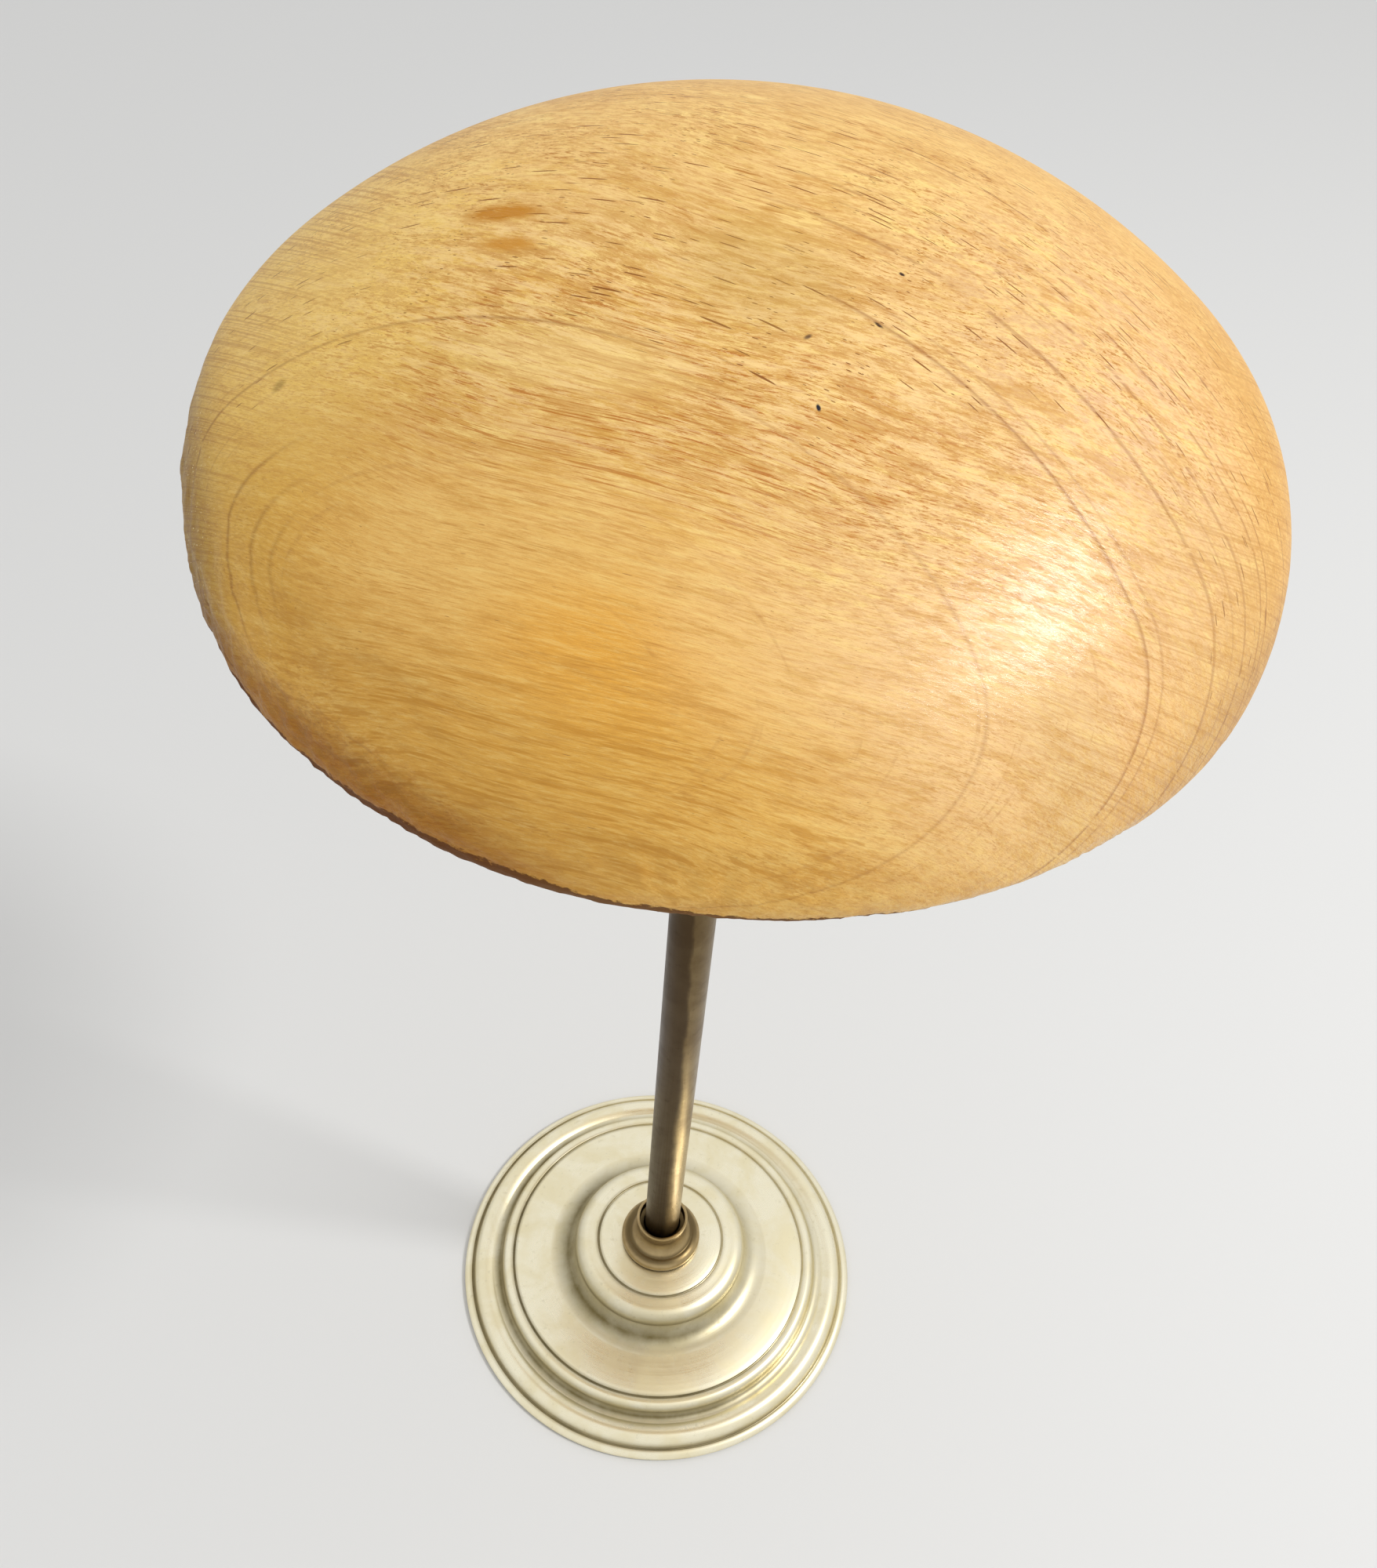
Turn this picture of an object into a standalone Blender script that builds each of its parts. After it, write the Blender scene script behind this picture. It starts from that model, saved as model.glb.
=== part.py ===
"""Hat stand: a turned beech head on a slim brass stem, over a weighted, stepped brass base.

The stand is built as it is put together. A steel tie rod runs up the stem tube from a nut
under the base and screws into a brass flange below the head, so it draws the iron weight,
the spun base shell, the collar and the tube together. Lengths are in metres, +Z is up, and
the origin is the centre of the pad's underside.
"""

import math

import bmesh
import bpy
from mathutils import Matrix, Vector

# Gaps between pieces that touch on the real stand
SEAT_GAP = 0.0003
BORE_CLEARANCE = 0.0003

# Base shell, from its rim inwards. A rise is positive upwards, and a swell is how far a
# moulding bows out of the straight line across it; a negative swell is a hollow.
FOOT_RADIUS = 0.0569
FOOT_LIFT = 0.0006
FOOT_EDGE_HEIGHT = 0.0006
FOOT_WIDTH = 0.0020
FOOT_RISE = 0.0012
FOOT_SWELL = 0.0003
FOOT_LAP = 0.0032
GROOVE_WIDTH = 0.0007
GROOVE_DEPTH = 0.0005
OUTER_BEAD_WIDTH = 0.0060
OUTER_BEAD_RISE = 0.0022
OUTER_BEAD_SWELL = 0.0018
COVE_WIDTH = 0.0025
COVE_RISE = 0.0022
COVE_SWELL = -0.0008
INNER_BEAD_WIDTH = 0.0030
INNER_BEAD_RISE = 0.0019
INNER_BEAD_SWELL = 0.0008
PLATFORM_WIDTH = 0.0105
PLATFORM_RISE = 0.0014
PLATFORM_SWELL = 0.0002
BOSS_COVE_WIDTH = 0.0071
BOSS_COVE_RISE = 0.0044
BOSS_COVE_SWELL = -0.0016
SHOULDER_WIDTH = 0.0041
SHOULDER_RISE = 0.0046
SHOULDER_SWELL = 0.0015
BOSS_TOP_WIDTH = 0.0022
BOSS_TOP_RISE = 0.0004
CROWN_RISE = 0.0009
CROWN_SWELL = 0.0002
SHELL_WALL = 0.0012

# Collar that holds the foot of the stem
COLLAR_FOOT_RADIUS = 0.0108
COLLAR_BEAD_HEIGHT = 0.0033
COLLAR_BEAD_INSET = 0.0015
COLLAR_BEAD_SWELL = 0.0010
COLLAR_STEP = 0.0006
COLLAR_NECK_HEIGHT = 0.0046
COLLAR_NECK_SWELL = -0.0006
COLLAR_CUP_HEIGHT = 0.0046
COLLAR_CUP_FLARE = 0.0006
COLLAR_CUP_DEPTH = 0.0030
COLLAR_LIP_WIDTH = 0.0008
COLLAR_NECK_WALL = 0.0014
COLLAR_SOCKET_FLOOR = 0.0030
SPIGOT_WALL = 0.0024
SPIGOT_LENGTH = 0.0010

# Stem tube and the tie rod inside it
STEM_RADIUS = 0.00476
STEM_WALL = 0.0010
STEM_LENGTH = 0.2391
ROD_RADIUS = 0.0030
ROD_TAIL = 0.0010
ROD_REACH = 0.0050
ROD_CHAMFER = 0.0005

# Iron weight, and the hardware under it
PAD_THICKNESS = 0.0012
PAD_EDGE_GAP = 0.0005
WEIGHT_EDGE_GAP = 0.0012
HUB_EDGE_GAP = 0.0003
HUB_TAPER = 0.0050
RECESS_SIDE_GAP = 0.0025
RECESS_SPARE_HEIGHT = 0.0009
WASHER_RADIUS = 0.0090
WASHER_THICKNESS = 0.0016
SPRING_WASHER_RADIUS = 0.0055
SPRING_WASHER_THICKNESS = 0.0016
SPRING_WASHER_SLIT = 0.0012
NUT_ACROSS_FLATS = 0.0100
NUT_HEIGHT = 0.0050

# Flange that carries the head, and its wood screws
FLANGE_RIM = 0.0031
FLANGE_THICKNESS = 0.0025
FLANGE_EDGE = 0.0005
FLANGE_FILLET = 0.0020
FLANGE_BOSS_WALL = 0.0032
FLANGE_BOSS_LENGTH = 0.0120
FLANGE_THREAD_DEPTH = 0.0040
SCREW_COUNT = 3
SCREW_BOSS_GAP = 0.00154
SCREW_RADIUS = 0.0018
SCREW_HEAD_RADIUS = 0.0034
SCREW_LENGTH = 0.0160
SCREW_TIP_LENGTH = 0.0045
SCREW_SLOT_WIDTH = 0.0009
SCREW_SLOT_DEPTH = 0.0008
PILOT_SPARE_DEPTH = 0.0008

# Turned head
HEAD_RADIUS = 0.0752
HEAD_CROWN_RADIUS = 0.1030
HEAD_SHOULDER_RADIUS = 0.0288
HEAD_ROUND = 0.0060

# Facets
LARGE_SEGMENTS = 64
SMALL_SEGMENTS = 36
TINY_SEGMENTS = 16
MERGE_DISTANCE = 0.000001
SHARP_ANGLE = math.radians(32)


def clear_scene():
    """Empties the scene, so the script can be run again."""
    for old in list(bpy.data.objects):
        bpy.data.objects.remove(old, do_unlink=True)


def material(name, colour, metallic, roughness):
    """A plain Principled material for the construction model."""
    made = bpy.data.materials.new(name)
    made.use_nodes = True
    shader = made.node_tree.nodes["Principled BSDF"]
    shader.inputs["Base Color"].default_value = (*colour, 1.0)
    shader.inputs["Metallic"].default_value = metallic
    shader.inputs["Roughness"].default_value = roughness
    made.diffuse_color = (*colour, 1.0)
    return made


def moulding(start, end, swell, steps):
    """Points from start to end along a shallow bow that stands off the chord by swell."""
    start, end = Vector(start), Vector(end)
    chord = end - start
    off = Vector((chord.y, -chord.x)).normalized()
    if off.y < 0:
        off.negate()
    points = []
    for step in range(steps + 1):
        along = step / steps
        bow = 4 * along * (1 - along)
        points.append(tuple(start + chord * along + off * swell * bow))
    return points


def inset(points, wall):
    """The same outline moved inwards, square to itself, by the wall's thickness."""
    moved = []
    for index, point in enumerate(points):
        before = Vector(points[max(index - 1, 0)])
        after = Vector(points[min(index + 1, len(points) - 1)])
        run = (after - before).normalized()
        inwards = Vector((-run.y, run.x))
        if inwards.y > 0:
            inwards.negate()
        moved.append(tuple(Vector(point) + inwards * wall))
    return moved


def new_object(name, work, finish):
    """Turns a finished bmesh into a smooth-shaded object."""
    mesh = bpy.data.meshes.new(name)
    work.to_mesh(mesh)
    work.free()
    mesh.materials.append(finish)
    mesh.shade_smooth()
    mesh.set_sharp_from_angle(angle=SHARP_ANGLE)
    made = bpy.data.objects.new(name, mesh)
    bpy.context.scene.collection.objects.link(made)
    return made


def turned_mesh(outline, segments):
    """Spins (radius, height) points about +Z. A closed loop of points makes a ring; a run
    that starts and ends on the axis makes a solid without a bore."""
    work = bmesh.new()
    corners = [work.verts.new((radius, 0.0, height)) for radius, height in outline]
    pairs = list(zip(corners, corners[1:]))
    if outline[0][0] > 0:
        pairs.append((corners[-1], corners[0]))
    edges = [work.edges.new(pair) for pair in pairs]
    bmesh.ops.spin(
        work,
        geom=corners + edges,
        cent=(0, 0, 0),
        axis=(0, 0, 1),
        angle=math.tau,
        steps=segments,
    )
    bmesh.ops.remove_doubles(work, verts=work.verts, dist=MERGE_DISTANCE)
    bmesh.ops.recalc_face_normals(work, faces=work.faces)
    return work


def turned(name, outline, segments, finish):
    """A lathe-turned piece."""
    return new_object(name, turned_mesh(outline, segments), finish)


def cutter(name, work, finish):
    """A hidden wire object that cuts another piece."""
    made = new_object(name, work, finish)
    made.hide_render = True
    made.display_type = "WIRE"
    return made


def cut(body, tool):
    """Takes the tool's volume out of the body."""
    step = body.modifiers.new(tool.name, "BOOLEAN")
    step.operation = "DIFFERENCE"
    step.solver = "EXACT"
    step.object = tool


def rod_mesh(radius, bottom, top, segments):
    """A plain round bar on the axis."""
    return turned_mesh([(0, bottom), (radius, bottom), (radius, top), (0, top)], segments)


def around(work, count, radius):
    """Copies a mesh on the axis to count places, evenly round a circle."""
    whole = bmesh.new()
    mesh = bpy.data.meshes.new("pattern")
    work.to_mesh(mesh)
    work.free()
    for index in range(count):
        before = len(whole.verts)
        whole.from_mesh(mesh)
        whole.verts.ensure_lookup_table()
        bmesh.ops.transform(
            whole,
            matrix=screw_place(index, count, radius),
            verts=whole.verts[before:],
        )
    bpy.data.meshes.remove(mesh)
    return whole


def screw_place(index, count, radius):
    """The turn and shift that puts a piece on the axis at one place of a circle."""
    turn = Matrix.Rotation(math.tau * index / count, 4, "Z")
    return turn @ Matrix.Translation((radius, 0, 0))


# Radii of the base mouldings, from the rim inwards
FOOT_GROOVE_RADIUS = FOOT_RADIUS - FOOT_WIDTH
OUTER_BEAD_RADIUS = FOOT_GROOVE_RADIUS - GROOVE_WIDTH
COVE_RADIUS = OUTER_BEAD_RADIUS - OUTER_BEAD_WIDTH
INNER_BEAD_RADIUS = COVE_RADIUS - COVE_WIDTH
PLATFORM_GROOVE_RADIUS = INNER_BEAD_RADIUS - INNER_BEAD_WIDTH
PLATFORM_RADIUS = PLATFORM_GROOVE_RADIUS - GROOVE_WIDTH
BOSS_COVE_RADIUS = PLATFORM_RADIUS - PLATFORM_WIDTH
BOSS_RADIUS = BOSS_COVE_RADIUS - BOSS_COVE_WIDTH
BOSS_TOP_RADIUS = BOSS_RADIUS - SHOULDER_WIDTH
BOSS_GROOVE_RADIUS = BOSS_TOP_RADIUS - BOSS_TOP_WIDTH
CROWN_RADIUS = BOSS_GROOVE_RADIUS - GROOVE_WIDTH
SEAT_RADIUS = COLLAR_FOOT_RADIUS + SEAT_GAP

# Heights of the same mouldings, from the table up
FOOT_EDGE_TOP = FOOT_LIFT + FOOT_EDGE_HEIGHT
FOOT_TOP = FOOT_EDGE_TOP + FOOT_RISE
COVE_BOTTOM = FOOT_TOP + OUTER_BEAD_RISE
COVE_TOP = COVE_BOTTOM + COVE_RISE
PLATFORM_EDGE = COVE_TOP + INNER_BEAD_RISE
PLATFORM_TOP = PLATFORM_EDGE + PLATFORM_RISE
SHOULDER_BOTTOM = PLATFORM_TOP + BOSS_COVE_RISE
SHOULDER_TOP = SHOULDER_BOTTOM + SHOULDER_RISE
BOSS_TOP = SHOULDER_TOP + BOSS_TOP_RISE
SEAT_HEIGHT = BOSS_TOP + CROWN_RISE

# Bores that the tie rod, the tube and the spigot pass through
ROD_BORE = ROD_RADIUS + BORE_CLEARANCE
TUBE_BORE = STEM_RADIUS + BORE_CLEARANCE
SPIGOT_RADIUS = ROD_BORE + SPIGOT_WALL
SHELL_BORE = SPIGOT_RADIUS + BORE_CLEARANCE

# Recess in the weight, which takes the washers, the nut and the rod's tail
RECESS_RADIUS = WASHER_RADIUS + RECESS_SIDE_GAP
HARDWARE_HEIGHT = WASHER_THICKNESS + SPRING_WASHER_THICKNESS + NUT_HEIGHT + 3 * SEAT_GAP
RECESS_HEIGHT = HARDWARE_HEIGHT + ROD_TAIL + RECESS_SPARE_HEIGHT
HUB_RADIUS = BOSS_TOP_RADIUS - HUB_EDGE_GAP

# Flange boss round the tube, then the screws' circle, then the flange's rim
FLANGE_BOSS_RADIUS = TUBE_BORE + FLANGE_BOSS_WALL
SCREW_SINK_RADIUS = SCREW_HEAD_RADIUS + BORE_CLEARANCE
SCREW_CIRCLE_RADIUS = FLANGE_BOSS_RADIUS + FLANGE_FILLET + SCREW_BOSS_GAP + SCREW_SINK_RADIUS
FLANGE_RADIUS = SCREW_CIRCLE_RADIUS + SCREW_HEAD_RADIUS + FLANGE_RIM

# Heights up the stand
COLLAR_BOTTOM = SEAT_HEIGHT + SEAT_GAP
COLLAR_BEAD_TOP = COLLAR_BOTTOM + COLLAR_BEAD_HEIGHT
COLLAR_NECK_TOP = COLLAR_BEAD_TOP + COLLAR_NECK_HEIGHT
COLLAR_TOP = COLLAR_NECK_TOP + COLLAR_CUP_HEIGHT
TUBE_BOTTOM = COLLAR_BOTTOM + COLLAR_SOCKET_FLOOR + SEAT_GAP
TUBE_TOP = TUBE_BOTTOM + STEM_LENGTH
FLANGE_SOCKET_TOP = TUBE_TOP + SEAT_GAP
FLANGE_TOP = FLANGE_SOCKET_TOP + FLANGE_THREAD_DEPTH
FLANGE_FACE = FLANGE_TOP - FLANGE_THICKNESS
HEAD_BOTTOM = FLANGE_TOP + SEAT_GAP


def base_stations(steps, grooved):
    """The base's outer line from the outer bead to the collar's seat. The grooves can be
    left out, which gives the plainer line that the inside of the spun shell follows."""
    dip = GROOVE_DEPTH if grooved else 0.0
    line = moulding(
        (OUTER_BEAD_RADIUS, FOOT_TOP), (COVE_RADIUS, COVE_BOTTOM), OUTER_BEAD_SWELL, steps
    )
    line += moulding(
        (COVE_RADIUS, COVE_BOTTOM), (INNER_BEAD_RADIUS, COVE_TOP), COVE_SWELL, steps
    )[1:]
    line += moulding(
        (INNER_BEAD_RADIUS, COVE_TOP),
        (PLATFORM_GROOVE_RADIUS, PLATFORM_EDGE),
        INNER_BEAD_SWELL,
        steps,
    )[1:]
    if grooved:
        line.append((PLATFORM_GROOVE_RADIUS - GROOVE_WIDTH / 2, PLATFORM_EDGE - dip))
    line += moulding(
        (PLATFORM_RADIUS, PLATFORM_EDGE), (BOSS_COVE_RADIUS, PLATFORM_TOP), PLATFORM_SWELL, 2
    )
    line += moulding(
        (BOSS_COVE_RADIUS, PLATFORM_TOP), (BOSS_RADIUS, SHOULDER_BOTTOM), BOSS_COVE_SWELL, steps
    )[1:]
    line += moulding(
        (BOSS_RADIUS, SHOULDER_BOTTOM), (BOSS_TOP_RADIUS, SHOULDER_TOP), SHOULDER_SWELL, steps
    )[1:]
    if grooved:
        line.append((BOSS_GROOVE_RADIUS, BOSS_TOP))
        line.append((BOSS_GROOVE_RADIUS - GROOVE_WIDTH / 2, BOSS_TOP - dip))
    line.append((CROWN_RADIUS, BOSS_TOP))
    line += moulding((CROWN_RADIUS, BOSS_TOP), (SEAT_RADIUS, SEAT_HEIGHT), CROWN_SWELL, 2)[1:]
    return line


def make_base_shell(brass):
    """The stepped shell: spun brass sheet with its rim folded under as a foot."""
    outer = [(FOOT_RADIUS - FOOT_LAP, FOOT_LIFT), (FOOT_RADIUS, FOOT_LIFT)]
    outer += moulding(
        (FOOT_RADIUS, FOOT_EDGE_TOP), (FOOT_GROOVE_RADIUS, FOOT_TOP), FOOT_SWELL, 2
    )
    outer.append((FOOT_GROOVE_RADIUS - GROOVE_WIDTH / 2, FOOT_TOP - GROOVE_DEPTH))
    outer += base_stations(4, grooved=True)
    outer.append((SHELL_BORE, SEAT_HEIGHT))
    inner = inset(base_stations(2, grooved=False)[1:], SHELL_WALL)
    inner[-1] = (SHELL_BORE, SEAT_HEIGHT - SHELL_WALL)
    outline = outer + list(reversed(inner))
    return turned("base_shell", outline, LARGE_SEGMENTS, brass)


def make_collar(brass):
    """The turned collar: a bead, a waisted neck and a small cup round the stem."""
    neck_radius = TUBE_BORE + COLLAR_NECK_WALL
    cup_radius = neck_radius + COLLAR_CUP_FLARE
    floor = COLLAR_BOTTOM + COLLAR_SOCKET_FLOOR
    outline = [
        (ROD_BORE, COLLAR_BOTTOM - SPIGOT_LENGTH),
        (SPIGOT_RADIUS, COLLAR_BOTTOM - SPIGOT_LENGTH),
        (SPIGOT_RADIUS, COLLAR_BOTTOM),
    ]
    bead_top = COLLAR_FOOT_RADIUS - COLLAR_BEAD_INSET
    outline += moulding(
        (COLLAR_FOOT_RADIUS, COLLAR_BOTTOM), (bead_top, COLLAR_BEAD_TOP), COLLAR_BEAD_SWELL, 6
    )
    outline += moulding(
        (bead_top - COLLAR_STEP, COLLAR_BEAD_TOP),
        (neck_radius, COLLAR_NECK_TOP),
        COLLAR_NECK_SWELL,
        5,
    )
    outline += [
        (cup_radius, COLLAR_TOP - COLLAR_LIP_WIDTH),
        (cup_radius, COLLAR_TOP),
        (cup_radius - COLLAR_LIP_WIDTH, COLLAR_TOP),
        (cup_radius - COLLAR_LIP_WIDTH, COLLAR_TOP - COLLAR_CUP_DEPTH),
        (TUBE_BORE, COLLAR_TOP - COLLAR_CUP_DEPTH),
        (TUBE_BORE, floor),
        (ROD_BORE, floor),
    ]
    return turned("stem_collar", outline, SMALL_SEGMENTS, brass)


def make_stem(brass):
    """The drawn brass tube."""
    bore = STEM_RADIUS - STEM_WALL
    outline = [
        (bore, TUBE_BOTTOM),
        (STEM_RADIUS, TUBE_BOTTOM),
        (STEM_RADIUS, TUBE_TOP),
        (bore, TUBE_TOP),
    ]
    return turned("stem_tube", outline, SMALL_SEGMENTS, brass)


def make_weight(iron):
    """The cast-iron weight that fills the shell, with a hub that bears under the boss and
    a recess below for the nut. Returns the height of the recess's ceiling."""
    bottom = PAD_THICKNESS + SEAT_GAP
    ceiling = bottom + RECESS_HEIGHT
    radius = PLATFORM_RADIUS - WEIGHT_EDGE_GAP
    disc_top = PLATFORM_EDGE - SHELL_WALL - SEAT_GAP
    hub_top = BOSS_TOP - SHELL_WALL - SEAT_GAP
    hub_edge = SHOULDER_BOTTOM - SHELL_WALL
    outline = [
        (ROD_BORE, ceiling),
        (RECESS_RADIUS, ceiling),
        (RECESS_RADIUS, bottom),
        (radius, bottom),
        (radius, disc_top),
        (HUB_RADIUS, disc_top),
        (HUB_RADIUS, hub_edge),
        (HUB_RADIUS - HUB_TAPER, hub_top),
        (ROD_BORE, hub_top),
    ]
    turned("base_weight", outline, LARGE_SEGMENTS // 2, iron)
    return ceiling


def make_clamp_hardware(steel, ceiling):
    """The washer, spring washer and nut on the rod's lower end. Returns the nut's
    underside."""
    washer_top = ceiling - SEAT_GAP
    washer_bottom = washer_top - WASHER_THICKNESS
    washer = [
        (ROD_BORE, washer_bottom),
        (WASHER_RADIUS, washer_bottom),
        (WASHER_RADIUS, washer_top),
        (ROD_BORE, washer_top),
    ]
    turned("clamp_washer", washer, SMALL_SEGMENTS, steel)

    spring_top = washer_bottom - SEAT_GAP
    spring_bottom = spring_top - SPRING_WASHER_THICKNESS
    spring = turned(
        "spring_washer",
        [
            (ROD_BORE, spring_bottom),
            (SPRING_WASHER_RADIUS, spring_bottom),
            (SPRING_WASHER_RADIUS, spring_top),
            (ROD_BORE, spring_top),
        ],
        SMALL_SEGMENTS,
        steel,
    )
    slit = bmesh.new()
    size = (2 * SPRING_WASHER_RADIUS, SPRING_WASHER_SLIT, 4 * SPRING_WASHER_THICKNESS)
    middle = (SPRING_WASHER_RADIUS + SEAT_GAP, 0, (spring_top + spring_bottom) / 2)
    place = Matrix.Translation(middle) @ Matrix.Diagonal((*size, 1))
    bmesh.ops.create_cube(slit, size=1, matrix=place)
    cut(spring, cutter("spring_slit_cutter", slit, steel))

    nut_top = spring_bottom - SEAT_GAP
    nut_bottom = nut_top - NUT_HEIGHT
    corner_radius = NUT_ACROSS_FLATS / 2 / math.cos(math.pi / 6)
    nut = new_object("clamp_nut", rod_mesh(corner_radius, nut_bottom, nut_top, 6), steel)
    bore = rod_mesh(ROD_BORE, nut_bottom - NUT_HEIGHT, nut_top + NUT_HEIGHT, TINY_SEGMENTS)
    cut(nut, cutter("nut_bore_cutter", bore, steel))
    return nut_bottom


def make_tie_rod(steel, nut_bottom):
    """The threaded rod from under the nut to just above the head's flange."""
    bottom = nut_bottom - ROD_TAIL
    top = FLANGE_TOP + ROD_REACH
    tip = ROD_RADIUS - ROD_CHAMFER
    outline = [
        (0, bottom),
        (tip, bottom),
        (ROD_RADIUS, bottom + ROD_CHAMFER),
        (ROD_RADIUS, top - ROD_CHAMFER),
        (tip, top),
        (0, top),
    ]
    return turned("tie_rod", outline, TINY_SEGMENTS, steel)


def make_pad(baize):
    """The baize disc glued under the weight, inside the folded foot of the shell."""
    radius = FOOT_RADIUS - FOOT_LAP - PAD_EDGE_GAP
    outline = [(0, 0), (radius, 0), (radius, PAD_THICKNESS), (0, PAD_THICKNESS)]
    return turned("base_pad", outline, LARGE_SEGMENTS, baize)


def make_flange(brass):
    """The turned flange screwed under the head, whose boss holds the top of the stem."""
    boss_radius = FLANGE_BOSS_RADIUS
    boss_bottom = FLANGE_FACE - FLANGE_BOSS_LENGTH
    outline = [
        (TUBE_BORE, boss_bottom),
        (boss_radius - FLANGE_EDGE, boss_bottom),
        (boss_radius, boss_bottom + FLANGE_EDGE),
        (boss_radius, FLANGE_FACE - FLANGE_FILLET),
        (boss_radius + FLANGE_FILLET / 3, FLANGE_FACE - FLANGE_FILLET / 3),
        (boss_radius + FLANGE_FILLET, FLANGE_FACE),
        (FLANGE_RADIUS - FLANGE_EDGE, FLANGE_FACE),
        (FLANGE_RADIUS, FLANGE_FACE + FLANGE_EDGE),
        (FLANGE_RADIUS, FLANGE_TOP),
        (ROD_BORE, FLANGE_TOP),
        (ROD_BORE, FLANGE_SOCKET_TOP),
        (TUBE_BORE, FLANGE_SOCKET_TOP),
    ]
    flange = turned("head_flange", outline, SMALL_SEGMENTS, brass)
    shank = SCREW_RADIUS + BORE_CLEARANCE
    sink = SCREW_SINK_RADIUS
    bottom = FLANGE_FACE - FLANGE_THICKNESS
    hole = [
        (0, bottom),
        (sink, bottom),
        (sink, FLANGE_FACE),
        (shank, FLANGE_FACE + sink - shank),
        (shank, FLANGE_TOP + FLANGE_THICKNESS),
        (0, FLANGE_TOP + FLANGE_THICKNESS),
    ]
    holes = around(turned_mesh(hole, TINY_SEGMENTS), SCREW_COUNT, SCREW_CIRCLE_RADIUS)
    cut(flange, cutter("flange_hole_cutter", holes, brass))


def make_screws(brass):
    """Slotted countersunk wood screws, driven up through the flange into the head."""
    face = FLANGE_FACE
    neck = face + SCREW_HEAD_RADIUS - SCREW_RADIUS
    tip = face + SCREW_LENGTH
    outline = [
        (0, face),
        (SCREW_HEAD_RADIUS, face),
        (SCREW_RADIUS, neck),
        (SCREW_RADIUS, tip - SCREW_TIP_LENGTH),
        (0, tip),
    ]
    for index in range(SCREW_COUNT):
        screw = turned(f"head_screw_{index + 1}", outline, TINY_SEGMENTS, brass)
        place = screw_place(index, SCREW_COUNT, SCREW_CIRCLE_RADIUS)
        screw.matrix_world = place
        slot = bmesh.new()
        size = (4 * SCREW_HEAD_RADIUS, SCREW_SLOT_WIDTH, 2 * SCREW_SLOT_DEPTH)
        middle = Matrix.Translation((0, 0, face)) @ Matrix.Diagonal((*size, 1))
        bmesh.ops.create_cube(slot, size=1, matrix=middle)
        tool = cutter(f"screw_slot_cutter_{index + 1}", slot, brass)
        tool.matrix_world = place
        cut(screw, tool)


def arc(centre, radius, first, last, steps):
    """Points on a circle of the outline, from one angle above the horizontal to another."""
    points = []
    for step in range(steps + 1):
        angle = first + (last - first) * step / steps
        out, up = radius * math.cos(angle), radius * math.sin(angle)
        points.append((centre[0] + out, centre[1] + up))
    return points


def head_outline():
    """The head from its crown down: a broad crown arc, a tighter shoulder arc that it runs
    into smoothly, a rounded lower edge and a flat underside."""
    widest = HEAD_BOTTOM + HEAD_ROUND
    shoulder_centre = HEAD_RADIUS - HEAD_SHOULDER_RADIUS
    between = HEAD_CROWN_RADIUS - HEAD_SHOULDER_RADIUS
    meeting = math.acos(shoulder_centre / between)
    crown_centre = widest - between * math.sin(meeting)
    crown = arc((0, crown_centre), HEAD_CROWN_RADIUS, math.pi / 2, meeting, 8)
    crown[0] = (0, crown_centre + HEAD_CROWN_RADIUS)
    shoulder = arc((shoulder_centre, widest), HEAD_SHOULDER_RADIUS, meeting, 0, 7)
    lower = arc((HEAD_RADIUS - HEAD_ROUND, widest), HEAD_ROUND, 0, -math.pi / 2, 5)
    return crown + shoulder[1:] + lower[1:] + [(0, HEAD_BOTTOM)]


def make_head(beech):
    """The solid turned head, with holes below for the rod's end and the screws."""
    head = turned("head", head_outline(), LARGE_SEGMENTS, beech)
    below = HEAD_BOTTOM - HEAD_ROUND
    rod_hole = rod_mesh(
        ROD_BORE, below, FLANGE_TOP + ROD_REACH + PILOT_SPARE_DEPTH, TINY_SEGMENTS
    )
    cut(head, cutter("head_bore_cutter", rod_hole, beech))
    pilot_top = FLANGE_FACE + SCREW_LENGTH + PILOT_SPARE_DEPTH
    pilot = rod_mesh(SCREW_RADIUS + BORE_CLEARANCE, below, pilot_top, TINY_SEGMENTS)
    pilots = around(pilot, SCREW_COUNT, SCREW_CIRCLE_RADIUS)
    cut(head, cutter("head_pilot_cutter", pilots, beech))


def build():
    """Makes every piece of the stand, from the table up."""
    clear_scene()
    beech = material("beech", (0.72, 0.44, 0.19), 0.0, 0.38)
    brass = material("polished_brass", (0.72, 0.60, 0.36), 1.0, 0.18)
    steel = material("zinc_plated_steel", (0.58, 0.58, 0.57), 1.0, 0.35)
    iron = material("cast_iron", (0.11, 0.11, 0.12), 1.0, 0.60)
    baize = material("green_baize", (0.03, 0.13, 0.06), 0.0, 0.95)

    make_pad(baize)
    ceiling = make_weight(iron)
    nut_bottom = make_clamp_hardware(steel, ceiling)
    make_tie_rod(steel, nut_bottom)
    make_base_shell(brass)
    make_collar(brass)
    make_stem(brass)
    make_flange(brass)
    make_screws(brass)
    make_head(beech)


build()
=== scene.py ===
"""A turned beech hat stand on a slim brass stem and a stepped, weighted brass base.

The file follows the stand from the table up, in the order in which it is put together.
Sizes are in millimetres, apart from the studio's, and MM makes them metres for Blender.
"""

import math

import bpy
import mathutils
from mathutils import Matrix, Vector


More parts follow.
